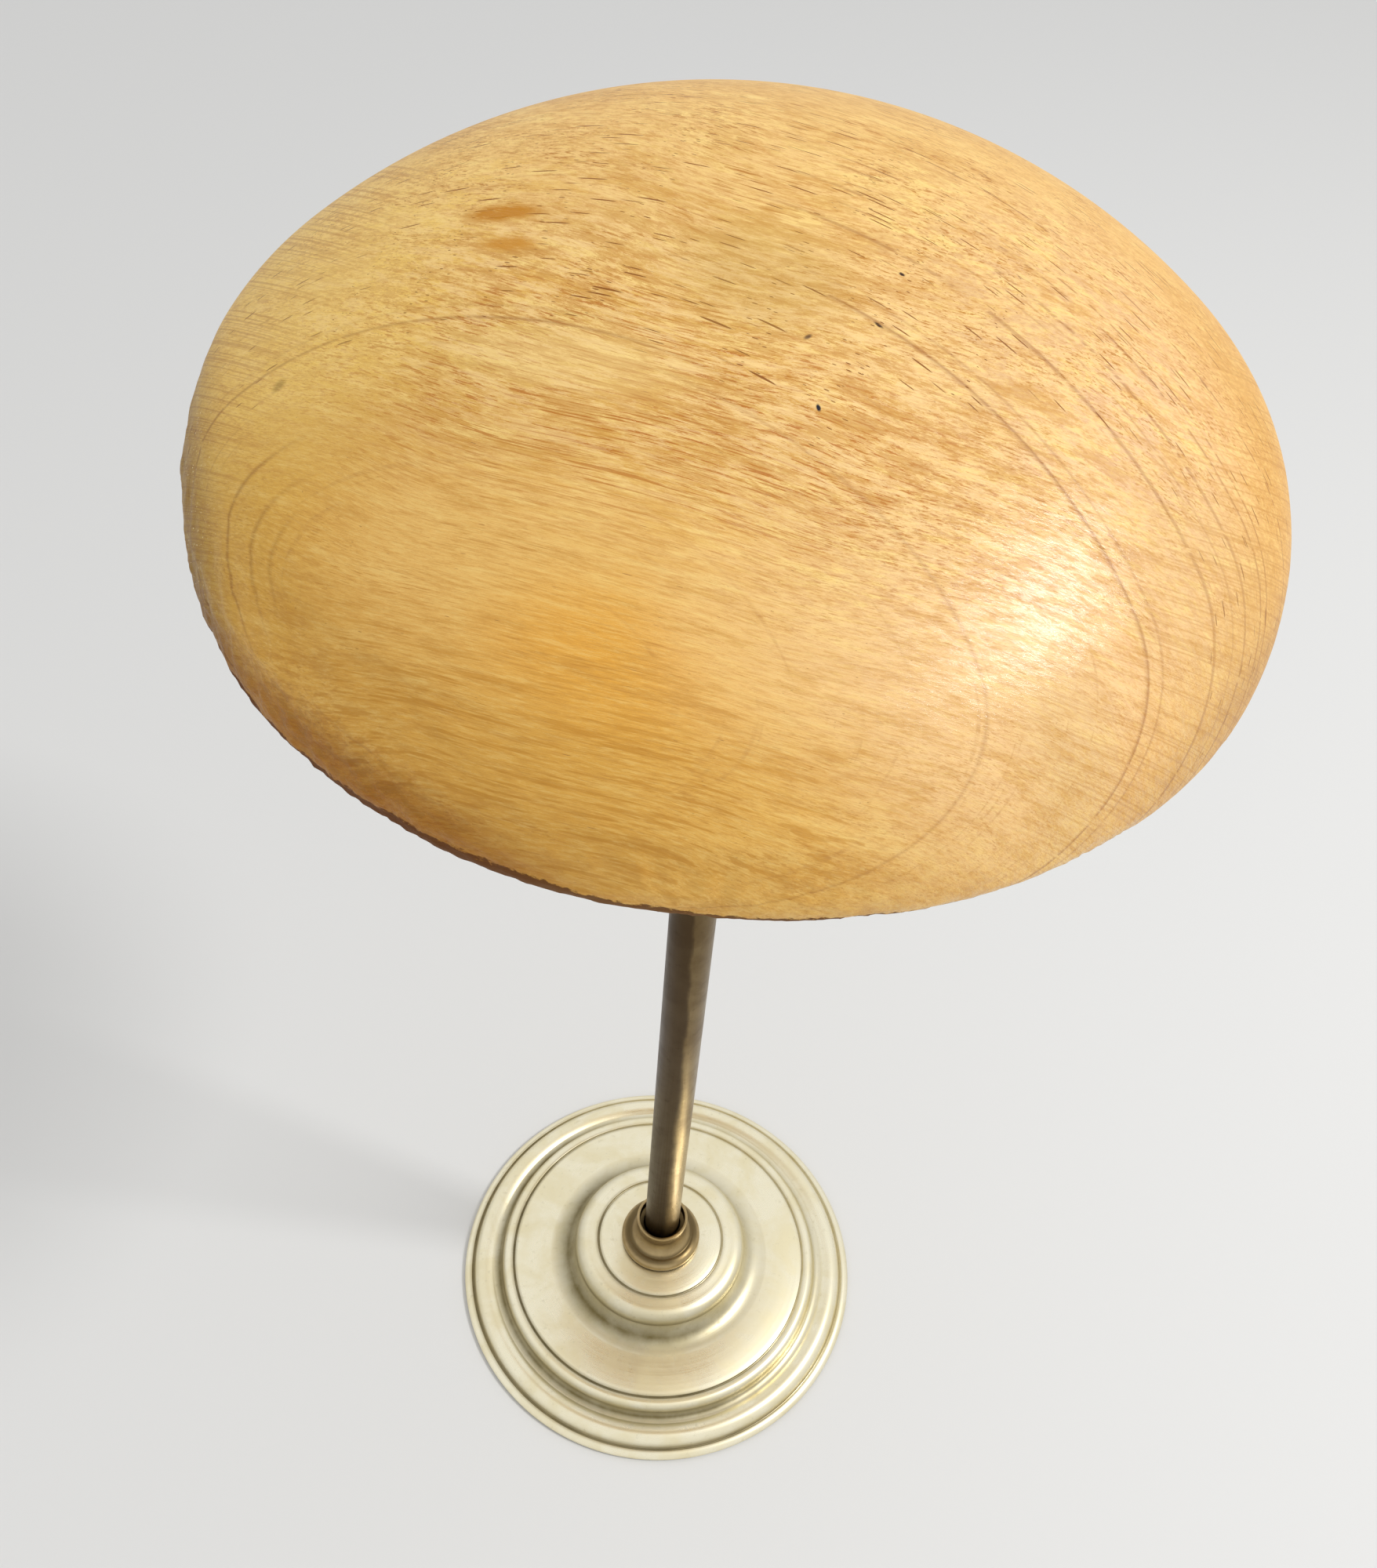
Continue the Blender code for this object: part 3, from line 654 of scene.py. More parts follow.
stem_tones = (STEM_PALE, STEM_DEEP, STEM_PATINA_AND_SHADE)
drawn_brass = brass(
    "drawn_brass", "long", stem_tones, stem_patina_and_shade, roughness=0.27, dulled=0.08, scratches=0.006
)
stem_line = [(STEM_BORE, STEM_BOTTOM), (STEM_RADIUS, STEM_BOTTOM)]
stem_line += [(STEM_RADIUS, STEM_TOP), (STEM_BORE, STEM_TOP), (STEM_BORE, STEM_BOTTOM)]
stem = turn("drawn_stem_tube", stem_line, steps=96, soft=0.2, crisp=40)
fit(stem, drawn_brass, "polished_brass", "stem_tube")


# Flange: a turned brass disc under the head, whose boss takes the top of the tube. It is
# drilled and countersunk in three places.
FLANGE_FACE = 264.9
FLANGE_TOP = 267.4
FLANGE_RADIUS = 22.0
BOSS_RADIUS = 8.26
BOSS_BOTTOM = 252.9
BOSS_FILLET = 2.0
BOSS_SOCKET_TOP = 263.4
SCREW_CIRCLE = 15.5
SCREW_ANGLES = (0, 120, 240)
SINK_RADIUS = 3.7
SINK_BOTTOM = 266.5
SCREW_HOLE = 2.1


def on_circle(piece, angle, spin=0.0):
    """Moves a piece that was made on the axis to its place on the screws' circle."""
    take(piece)
    around = math.radians(angle)
    piece.location = (SCREW_CIRCLE * MM * math.cos(around), SCREW_CIRCLE * MM * math.sin(around), 0)
    piece.rotation_euler = (0, 0, math.radians(spin))
    bpy.ops.object.transform_apply(location=True, rotation=True, scale=True)


def flange_line():
    """The flange's outline, from the mouth of its boss round to its socket."""
    line = [(STEM_SOCKET, BOSS_BOTTOM + 0.4), (STEM_SOCKET + 0.34, BOSS_BOTTOM)]
    line += [(BOSS_RADIUS - 0.5, BOSS_BOTTOM), (BOSS_RADIUS, BOSS_BOTTOM + 0.5)]
    fillet_start = FLANGE_FACE - BOSS_FILLET
    line.append((BOSS_RADIUS, fillet_start))
    for turned in (0.4, 0.8, 1.2):
        out = BOSS_FILLET * (1 - math.cos(turned))
        line.append((BOSS_RADIUS + out, fillet_start + BOSS_FILLET * math.sin(turned)))
    line += [(BOSS_RADIUS + BOSS_FILLET, FLANGE_FACE), (FLANGE_RADIUS - 0.8, FLANGE_FACE)]
    line += [(FLANGE_RADIUS - 0.25, FLANGE_FACE + 0.2), (FLANGE_RADIUS, FLANGE_FACE + 0.7)]
    line += [(FLANGE_RADIUS, FLANGE_TOP), (ROD_HOLE, FLANGE_TOP), (ROD_HOLE, BOSS_SOCKET_TOP)]
    line += [(STEM_SOCKET, BOSS_SOCKET_TOP), (STEM_SOCKET, BOSS_BOTTOM + 0.4)]
    return line


flange = turn("turned_head_flange", flange_line(), steps=128, soft=0.1)
sink_line = [
    (0, FLANGE_FACE - 2.5),
    (SINK_RADIUS, FLANGE_FACE - 2.5),
    (SINK_RADIUS, FLANGE_FACE),
    (SCREW_HOLE, SINK_BOTTOM),
    (SCREW_HOLE, FLANGE_TOP + 2.6),
    (0, FLANGE_TOP + 2.6),
]
for angle in SCREW_ANGLES:
    drill = turn("countersink", sink_line, steps=48)
    on_circle(drill, angle)
    cut(flange, drill)
fit(flange, turned_brass, "polished_brass", "head_flange")


# Screws: three slotted countersunk brass wood screws, driven up through the flange. Each
# slot was left at its own angle.
SLOT_ANGLES = (24, -62, 8)
SLOT_WIDTH = 0.9
SLOT_DEPTH = 0.8
SCREW_HEAD_RADIUS = 3.4
SHANK_RADIUS = 1.8
SHANK_START = 266.6
SHANK_END = 267.6
THREAD_ROOT = 1.35
THREAD_START = 268.2
THREAD_PITCH = 0.9
THREAD_TURNS = 11
TAPER_START = 274.4
TAPER_LENGTH = 5.2
SCREW_TIP = 280.9

screw_line = [(0, FLANGE_FACE), (SCREW_HEAD_RADIUS - 0.2, FLANGE_FACE)]
screw_line += [(SCREW_HEAD_RADIUS, FLANGE_FACE + 0.2)]
screw_line += [(SHANK_RADIUS, SHANK_START), (SHANK_RADIUS, SHANK_END)]
for turn_of_thread in range(THREAD_TURNS):
    root = THREAD_START + turn_of_thread * THREAD_PITCH
    left = 1 - max(0.0, (root - TAPER_START) / TAPER_LENGTH)
    screw_line += [(THREAD_ROOT * left, root), (SHANK_RADIUS * left, root + THREAD_PITCH / 2)]
screw_line.append((0, SCREW_TIP))
first_screw = turn("countersunk_screw_1", screw_line, steps=48)
cut(first_screw, saw((0, 0, FLANGE_FACE), (9.0, SLOT_WIDTH, 2 * SLOT_DEPTH)))
screws = [first_screw]
for number in (2, 3):
    take(first_screw)
    bpy.ops.object.duplicate(linked=False)
    bpy.context.object.name = f"countersunk_screw_{number}"
    bpy.context.object.data = first_screw.data.copy()
    screws.append(bpy.context.object)
for number, (screw, angle, slot_angle) in enumerate(zip(screws, SCREW_ANGLES, SLOT_ANGLES), 1):
    on_circle(screw, angle, slot_angle)
    fit(screw, turned_brass, "polished_brass", f"head_screw_{number}")


# Head: a solid cap of beech, turned between centres with its grain lying across, then
# varnished. Hats have worn the varnish off its crown, and its lower edge is knocked.
HEAD_RADIUS = 75.2
HEAD_BOTTOM = 267.7
HEAD_ROUND = 6.0
CROWN_RADIUS = 103.0
SHOULDER_RADIUS = 28.8
ROD_BORE_TOP = 273.2
# Where the block's pith lay, how far the wood is from it, and how the grain is turned.
PITH = (-43, -118, 354)
PITH_DISTANCE = 110
GRAIN_DIP = -1.2
GRAIN_TURN = -19.4
# How rings and fibres drift in the trunk: over what length and how far, their bend in front,
# and how much the rays lean.
RING_DRIFT = (55, 1.2, 0.0, 0.12)
FIBRE_DRIFT = (45, 7.0, 0.16, 0.22)
TURNING_PITCH = 1.3

BEECH_DEEP = (0.76, 0.41, 0.085, 1)
BEECH_PALE = (0.90, 0.54, 0.14, 1)
BEECH_WORN = (0.96, 0.64, 0.27, 1)
BEECH_BROWN = (0.66, 0.34, 0.07, 1)
BEECH_GOLD = (1.0, 0.72, 0.25, 1)
FIBRE_BROWN = (0.60, 0.275, 0.055, 1)
FIBRE_GOLD = (0.99, 0.70, 0.25, 1)
FLAKE_BROWN = (0.60, 0.27, 0.05, 1)
STREAK_BROWN = (0.50, 0.20, 0.03, 1)
HAIRLINE_RED = (0.50, 0.16, 0.02, 1)
SHOULDER_BROWN = (0.60, 0.27, 0.035, 1)
PEELED_BROWN = (0.60, 0.29, 0.06, 1)
PEELED_PALE = (1.0, 0.71, 0.33, 1)
RING_DARK = (0.27, 0.068, 0.008, 1)
RING_FAINT = (0.50, 0.23, 0.06, 1)
RIB_BROWN = (0.52, 0.23, 0.04, 1)
RAY_DARK = (0.30, 0.10, 0.016, 1)
SPECK_BROWN = (0.38, 0.17, 0.05, 1)
GLINT_PALE = (1.0, 0.90, 0.52, 1)
KNOCK_DIRT_AND_SHADE = (0.36, 0.16, 0.025, 1)
EDGE_DIRT_AND_SHADE = (0.12, 0.042, 0.014, 1)
BARE_DEEP = (0.80, 0.59, 0.32, 1)
BARE_PALE = (0.88, 0.69, 0.41, 1)
BARE_FIBRE = (0.56, 0.34, 0.14, 1)
# Each region's centre, half sizes and turn, softness, strength and tint.
BEECH_REGIONS = (
    ((-60, -20, 298), (20, 46, 40), 0, 0.5, 0.7, (0.82, 0.51, 0.09, 1)),
    ((-50, -4, 305), (22, 28, 20), 10, 0.6, 0.85, (1.0, 0.675, 0.165, 1)),
    ((-30, -60, 290), (36, 18, 30), -25, 0.5, 0.5, (0.76, 0.38, 0.05, 1)),
    ((-24, -51, 300), (20, 12, 20), -15, 0.6, 0.6, (0.90, 0.57, 0.19, 1)),
    ((-11, -62, 298), (11, 5, 20), -12, 0.8, 0.7, (0.86, 0.41, 0.05, 1)),
    ((4, -60, 299), (10, 8, 20), -15, 0.6, 0.5, (0.98, 0.64, 0.26, 1)),
    ((-37, -37, 304), (17, 5, 20), -12, 0.7, 0.35, (0.60, 0.29, 0.05, 1)),
    ((-10, -44, 307), (26, 4, 20), -19, 0.8, 0.45, (0.62, 0.31, 0.06, 1)),
    ((12, -46, 307), (15, 5, 20), -24, 0.8, 0.7, (0.62, 0.31, 0.07, 1)),
    ((4, -42, 309), (15, 6, 10), -20, 0.7, 0.6, (0.66, 0.36, 0.09, 1)),
    ((-24, -31, 311), (12, 5, 10), -12, 0.8, 0.4, (0.80, 0.60, 0.18, 1)),
    ((-12, -17, 317), (14, 5, 10), -15, 0.8, 0.35, (0.97, 0.72, 0.32, 1)),
    ((26, -46, 304), (24, 18, 30), -20, 0.6, 0.6, (0.90, 0.54, 0.20, 1)),
    # This paler, whiter tint is partly painted highlight glow.
    ((28, -60, 294), (20, 14, 20), -30, 0.7, 0.6, (1.0, 0.68, 0.37, 1)),
    ((38, -58, 290), (9, 6, 20), -40, 0.7, 0.35, (0.60, 0.42, 0.12, 1)),
    ((52, 0, 300), (26, 46, 40), 0, 0.5, 0.5, (0.80, 0.44, 0.12, 1)),
    ((68, -24, 284), (13, 40, 22), 16, 0.5, 0.6, (0.70, 0.38, 0.10, 1)),
    ((-8, 24, 312), (60, 24, 30), -12, 0.5, 0.4, (0.90, 0.57, 0.18, 1)),
    ((12, -14, 316), (34, 25, 12), -20, 0.6, 0.5, (0.70, 0.43, 0.14, 1)),
    # This paler, whiter tint is painted highlight glow.
    ((45, -35, 300), (14, 24, 30), -10, 0.6, 0.5, (0.98, 0.65, 0.42, 1)),
    ((34, -18, 310), (22, 24, 20), -15, 0.6, 0.5, (0.82, 0.54, 0.33, 1)),
)
# Painted shade, with some old dirt, that darkens the rim: centre, half sizes, turn, softness,
# strength and tint.
RIM_DIRT_AND_SHADE = (
    ((-73, -26, 279), (11, 48, 17), 12, 0.5, 0.9, (0.40, 0.37, 0.24, 1)),
    ((-44, -62, 273), (42, 14, 7), -42, 0.5, 0.85, (0.50, 0.35, 0.16, 1)),
    ((62, -30, 277), (22, 60, 7), 20, 0.5, 0.45, (0.62, 0.54, 0.40, 1)),
)
# Stains, pin knots and specks of soot: centre, half sizes, turn, strength and tint.
BEECH_MARKS = (
    ((0.5, -22, 316), (9, 8, 8), -15, 0.36, (0.55, 0.345, 0.09, 1)),
    ((-18, -33.5, 311), (12, 3.5, 8), -15, 0.4, (1.0, 0.72, 0.29, 1)),
    ((-47, -22, 304), (13, 18, 14), 10, 0.3, (1.0, 0.68, 0.19, 1)),
    ((55, -38, 292), (13, 15, 14), 25, 0.3, (0.62, 0.38, 0.13, 1)),
    ((-29.7, -9.6, 314.0), (4.2, 1.4, 3), -14, 1.2, (0.60, 0.25, 0.02, 1)),
    ((-28.0, -15.7, 313.7), (3.2, 1.1, 3), -14, 0.9, (0.64, 0.28, 0.03, 1)),
    ((-53.3, -26.2, 300.0), (0.8, 0.7, 1.5), 0, 0.55, (0.28, 0.15, 0.02, 1)),
    ((15.6, -18.3, 315.9), (0.30, 0.2, 1), -20, 1.3, (0.05, 0.02, 0.01, 1)),
    ((7.6, -37.8, 311.3), (0.2, 0.36, 1), 20, 1.4, (0.014, 0.012, 0.02, 1)),
    ((13.3, -26.4, 314.4), (0.5, 0.18, 1), -30, 1.1, (0.07, 0.03, 0.01, 1)),
    ((5.9, -29.7, 314.2), (0.22, 0.45, 1), -50, 0.9, (0.12, 0.06, 0.03, 1)),
)
# Where wear, figure, gloss and painted glints lie on the head: centre, half sizes, turn and softness.
WORN_CROWN = ((2, -18, 312), (60, 33, 40), -22, 0.45)
OPENED_GRAIN = ((6, -8, 312), (66, 42, 40), -22, 0.35)
HAIRLINE_STRIP = ((-12, -36, 309), (52, 13, 20), -17, 0.6)
STREAKED_SHOULDER = ((-22, -68, 284), (50, 14, 13), -12, 0.5)
PEELED_BAND = ((0, -32, 308), (62, 17, 30), -18, 0.5)
RINGED_END = ((-58, -38, 291), (9, 14, 20), 10, 0.5)
PLAIN_FRONT = ((-26, -58, 292), (50, 30, 40), -15, 0.3)
PLAIN_SIDE = ((32, -56, 296), (24, 26, 30), -30, 0.3)
GLINTING_RIM = ((-70, -20, 286), (7, 30, 13), 12, 0.5)
KNOCKED_RIM = ((-46, -64, 273), (46, 11, 9), -42, 0.5)
CHIPPED_RIM = ((-62, -62, 270), (62, 62, 60), 0, 0.4)
GLOSSY_SIDE = ((30, -52, 298), (34, 30, 30), -30, 0.5)
# The distance of each dark late-wood line from the pith, and its strength. All of them lie
# between the two distances of RING_SPAN.
RING_SPAN = (84.0, 148.0)
INNER_RINGS = ((86.9, 0.4), (89.2, 0.7), (90.8, 0.5), (93.2, 0.8))
ARCH_RINGS = ((100.6, 1.0), (101.7, 0.3))
OUTER_RINGS = ((98.8, 0.3), (112.7, 0.8), (114.6, 0.5), (122.4, 1.0), (126.1, 0.5))
OUTER_RINGS += ((128.9, 1.0), (133.2, 0.8), (135.3, 0.7), (143.3, 0.8))


def arc(centre, radius, first, last, steps):
    """Points on a circle of an outline, from one angle to another."""
    points = []
    for step in range(steps + 1):
        angle = first + (last - first) * step / steps
        points.append((centre[0] + radius * math.cos(angle), centre[1] + radius * math.sin(angle)))
    return points


def head_line():
    """The head's outline: crown, shoulder, rounded lower edge, flat underside, rod's bore."""
    widest = HEAD_BOTTOM + HEAD_ROUND
    shoulder = HEAD_RADIUS - SHOULDER_RADIUS
    apart = CROWN_RADIUS - SHOULDER_RADIUS
    meeting = math.acos(shoulder / apart)
    crown_centre = widest - apart * math.sin(meeting)
    line = arc((0, crown_centre), CROWN_RADIUS, math.pi / 2, meeting, 40)
    line[0] = (0, crown_centre + CROWN_RADIUS)
    line += arc((shoulder, widest), SHOULDER_RADIUS, meeting, 0, 36)[1:]
    line += arc((HEAD_RADIUS - HEAD_ROUND, widest), HEAD_ROUND, 0, -math.pi / 2, 16)[1:]
    edge = HEAD_RADIUS - HEAD_ROUND
    line += [(edge + (ROD_HOLE - edge) * step / 8, HEAD_BOTTOM) for step in range(1, 9)]
    line += [(ROD_HOLE, ROD_BORE_TOP), (0, ROD_BORE_TOP)]
    return line


def patch(place, centre, size, spin, soft):
    """One soft-edged egg-shaped region of the piece: 1 inside and 0 outside."""
    node = put("Mapping", {"Vector": place}, vector_type="TEXTURE")
    node.inputs["Location"].default_value = [length * MM for length in centre]
    node.inputs["Rotation"].default_value = (0, 0, math.radians(spin))
    node.inputs["Scale"].default_value = [length * MM for length in size]
    return between(vectors("LENGTH", node.outputs[0], result="Value"), 1 + soft, 1 - soft)


def flecks(wood, size, reach, seed):
    """Thin dark dashes along the grain with tapered ends, each with its own length and
    strength. Size is one dash's share of the wood, and reach how much of it it can fill."""
    moved = vectors("ADD", scaled(wood, size), (seed, seed / 3, seed / 7))
    cells = put("TexVoronoi", {"Vector": moved, "Scale": 1.0})
    draw = put("SeparateColor", {0: cells.outputs["Color"]}).outputs
    spread = put("MapRange", {"Value": draw[1], 3: 0.45, 4: 1.0}).outputs[0]
    distance = maths("DIVIDE", cells.outputs["Distance"], spread)
    return times(between(distance, reach, reach * 0.35), draw[0])


def in_the_trunk(place, front, drift_size, drift, bend, lean):
    """Where a place lay in the trunk, whose grain drifts to and fro and bends in front.
    Gives the distances along the grain and from the pith, and two sets of coordinates with
    the grain first: straight ones, and ones whose rays lean as they run out from the pith."""
    cells = scaled(place, (drift_size, drift_size, drift_size))
    drifts = put("TexNoise", {"Vector": cells, "Scale": 1.0, "Detail": 1.0})
    shift = vectors("SUBTRACT", drifts.outputs["Color"], (0.5, 0.5, 0.5))
    shift = put("VectorMath", {0: shift, "Scale": drift * MM}, operation="SCALE").outputs[0]
    grown = vectors("ADD", place, shift)
    trunk = put("Mapping", {"Vector": grown}, vector_type="TEXTURE")
    trunk.inputs["Location"].default_value = [length * MM for length in PITH]
    trunk.inputs["Rotation"].default_value = (0, math.radians(GRAIN_DIP), math.radians(GRAIN_TURN))
    grain, side, rise = put("SeparateXYZ", {0: trunk.outputs[0]}).outputs
    slope = between_mm(front, -38, -72, 0.0, bend)
    side = maths("SUBTRACT", side, times(slope, grain))
    radius = vectors("LENGTH", xyz(0.0, side, rise), result="Value")
    turned = times(maths("ARCTAN2", rise, side), PITH_DISTANCE * MM)
    turned = maths("ADD", turned, times(radius, lean))
    return grain, radius, xyz(grain, side, rise), xyz(grain, turned, radius)


def board_colour(place, wood, worn, tone):
    """The board's own colour, its paler and darker regions, two of them partly painted highlight
    glow, and clouds along the grain.
    """
    colour = blend(tone, BEECH_DEEP, BEECH_PALE)
    for centre, size, spin, soft, share, tint in BEECH_REGIONS:
        region = times(patch(place, centre, size, spin, soft), share)
        colour = blend(region, colour, tint)
    colour = blend(times(worn, 0.6), colour, BEECH_WORN)
    clouds = noise(wood, (12, 2.2, 5), detail=5, rough=0.72)
    colour = blend(between(clouds, 0.51, 0.64, 0, 0.5), colour, BEECH_BROWN)
    pale = between(clouds, 0.48, 0.36, 0, 0.65)
    pale = times(pale, between(worn, 0.0, 0.5, 0.35, 1.0))
    return blend(pale, colour, BEECH_GOLD)


def opened_grain(place, wood, worn, fibres, flakes, colour):
    """Fibres, flakes and bundles of dark streaks, strongest where the crown is worn open."""
    opened = patch(place, *OPENED_GRAIN)
    opened = between(opened, 0.0, 1.0, 0.5, 1.0)
    brown = times(between(fibres, 0.5, 0.66, 0, 0.34), opened)
    colour = blend(brown, colour, FIBRE_BROWN)
    gold = times(between(fibres, 0.48, 0.34, 0, 0.3), opened)
    colour = blend(gold, colour, FIBRE_GOLD)
    brown = times(between(flakes, 0.54, 0.56), between(worn, 0.0, 0.6, 0.3, 0.4))
    colour = blend(brown, colour, FLAKE_BROWN)
    gold = times(between(flakes, 0.45, 0.43), between(worn, 0.0, 0.6, 0.25, 0.4))
    colour = blend(gold, colour, BEECH_GOLD)
    bundles = noise(wood, (16, 3.5, 6), detail=3, rough=0.6)
    streaks = noise(wood, (7, 0.2, 0.45), detail=3, rough=0.6)
    streaks = times(between(streaks, 0.56, 0.62, 0, 0.8), opened)
    return blend(times(streaks, between(bundles, 0.44, 0.6)), colour, STREAK_BROWN)


def front_strips(place, wood, colour):
    """Red-brown hairlines across the middle, brown streaks on the shoulder below, and a
    band between them where the varnish has peeled in strips."""
    hairlines = noise(wood, (13, 0.24, 0.6), detail=3, rough=0.6)
    middle = patch(place, *HAIRLINE_STRIP)
    hairlines = times(middle, between(hairlines, 0.56, 0.6, 0, 0.85))
    colour = blend(hairlines, colour, HAIRLINE_RED)
    streaks = noise(wood, (13, 0.8, 2.5), detail=3, rough=0.6)
    lower = patch(place, *STREAKED_SHOULDER)
    streaks = times(between(streaks, 0.53, 0.61, 0, 0.6), lower)
    colour = blend(streaks, colour, SHOULDER_BROWN)
    peeled = noise(wood, (11, 2.0, 4), detail=6, rough=0.85)
    band = patch(place, *PEELED_BAND)
    brown = times(between(peeled, 0.53, 0.545), band, 0.5)
    colour = blend(brown, colour, PEELED_BROWN)
    pale = times(between(peeled, 0.462, 0.448), band, 0.45)
    return blend(pale, colour, PEELED_PALE)


def growth_rings(place, front, grain, radius, wood, colour):
    """Dark late-wood lines round the pith: a few at the left end, an arch on the left, and
    dashed ones on the right that close up in front. Fainter ones lie between them all."""
    broken = noise(wood, (8, 1.3, 20), detail=3, rough=0.7)
    mended = between(broken, 0.35, 0.45, 0.2, 1.0)
    left_end = patch(place, *RINGED_END)
    left_half = between_mm(grain, 16, -6)
    right_half = between_mm(grain, -4, 14)
    lifted = maths("ADD", broken, between_mm(front, -16, -36, 0.0, 0.12))
    dashed = between(lifted, 0.46, 0.52, 0.12, 1.0)
    rings = 0.0
    for lines, width, shown in (
        (INNER_RINGS, 0.0032, times(left_end, mended)),
        (ARCH_RINGS, 0.0035, times(left_half, mended)),
        (OUTER_RINGS, 0.0042, times(right_half, dashed)),
    ):
        stops = []
        for distance, strength in lines:
            middle = (distance - RING_SPAN[0]) / (RING_SPAN[1] - RING_SPAN[0])
            stops += [(middle - width, 0.0), (middle, strength), (middle + 0.6 * width, 0.0)]
        drawn = traced(radius, *RING_SPAN, stops)
        rings = maths("MAXIMUM", rings, times(drawn, shown))
    colour = blend(rings, colour, RING_DARK)
    faint = between(noise(wood, (60, 30, 0.5), detail=2, rough=0.5), 0.6, 0.7)
    faint = times(faint, between(broken, 0.3, 0.7), 0.35)
    return blend(faint, colour, RING_FAINT)


def rays(place, grain, ring_wood, needle_wood, colour):
    """Beech's dark rays: ribs across the two ends, arcs on the crown, and dashes along the
    grain. Also gives how deep the arcs and dashes are sunk."""
    ends = between_mm(grain, -30, -52)
    ends = maths("MAXIMUM", ends, between_mm(grain, 44, 66))
    ribs = noise(ring_wood, (90, 0.22, 60), detail=2, rough=0.4)
    ribs = times(between(ribs, 0.52, 0.62), ends)
    ribs = times(ribs, between_mm(grain, -20, 40, 0.45, 0.4))
    colour = blend(ribs, colour, RIB_BROWN)
    plain_front = patch(place, *PLAIN_FRONT)
    plain_side = patch(place, *PLAIN_SIDE)
    plain = maths("MAXIMUM", plain_front, plain_side)
    arcs = flecks(ring_wood, (10, 4.5, 0.52), 0.28, 1.3)
    arcs = times(arcs, between(plain, 0.0, 0.6, 1.0, 0.0))
    dashes = flecks(needle_wood, (10, 0.4, 0.4), 0.29, 3.7)
    dashes = times(dashes, between(ends, 0.0, 1.0, 0.9, 0.3))
    dashes = times(dashes, between(plain, 0.0, 0.7, 1.0, 0.3))
    dashes = times(dashes, between_mm(grain, 18, 48, 1.0, 0.45))
    sunk = maths("MAXIMUM", between(arcs, 0.12, 0.4), between(dashes, 0.3, 0.6))
    colour = blend(times(sunk, 0.95), colour, RAY_DARK)
    specks = flecks(needle_wood, (5, 0.4, 0.4), 0.19, 5.1)
    return blend(between(specks, 0.3, 0.9, 0, 0.75), colour, SPECK_BROWN), sunk


def marks_shade_and_glints(place, needle_wood, flakes, colour):
    """Stains, pin knots and soot, painted shade with some old dirt along the rim, and painted glints
    on its left side.
    """
    grainy = between(flakes, 0.3, 0.5, 0.45, 1.0)
    for centre, size, spin, share, tint in BEECH_MARKS:
        mark = times(patch(place, centre, size, spin, 0.6), share)
        colour = blend(times(mark, grainy), colour, tint)
    # Painted shade, with some old dirt, darkens the rim.
    for centre, size, spin, soft, share, tint in RIM_DIRT_AND_SHADE:
        grime_and_shade = times(patch(place, centre, size, spin, soft), share)
        colour = blend(grime_and_shade, colour, tint, "MULTIPLY")
    # Painted glints: small pale specks on the left rim.
    glints = flecks(needle_wood, (1.3, 0.5, 0.5), 0.3, 8.9)
    glint_patch = patch(place, *GLINTING_RIM)
    glints = times(between(glints, 0.3, 0.55), glint_patch, 0.75)
    return blend(glints, colour, GLINT_PALE)


def chipped_edge(place, height):
    """1 below the varnish's ragged lower border, which is higher where the edge is knocked."""
    chips = noise(place, (1.9, 1.9, 1.2), detail=4, rough=0.7)
    knocked = patch(place, *CHIPPED_RIM)
    border = maths("ADD", height, times(maths("SUBTRACT", chips, 0.5), 3.4 * MM))
    border = maths("SUBTRACT", border, times(knocked, 1.9 * MM))
    return between_mm(border, HEAD_BOTTOM + 3.3, HEAD_BOTTOM + 2.8)


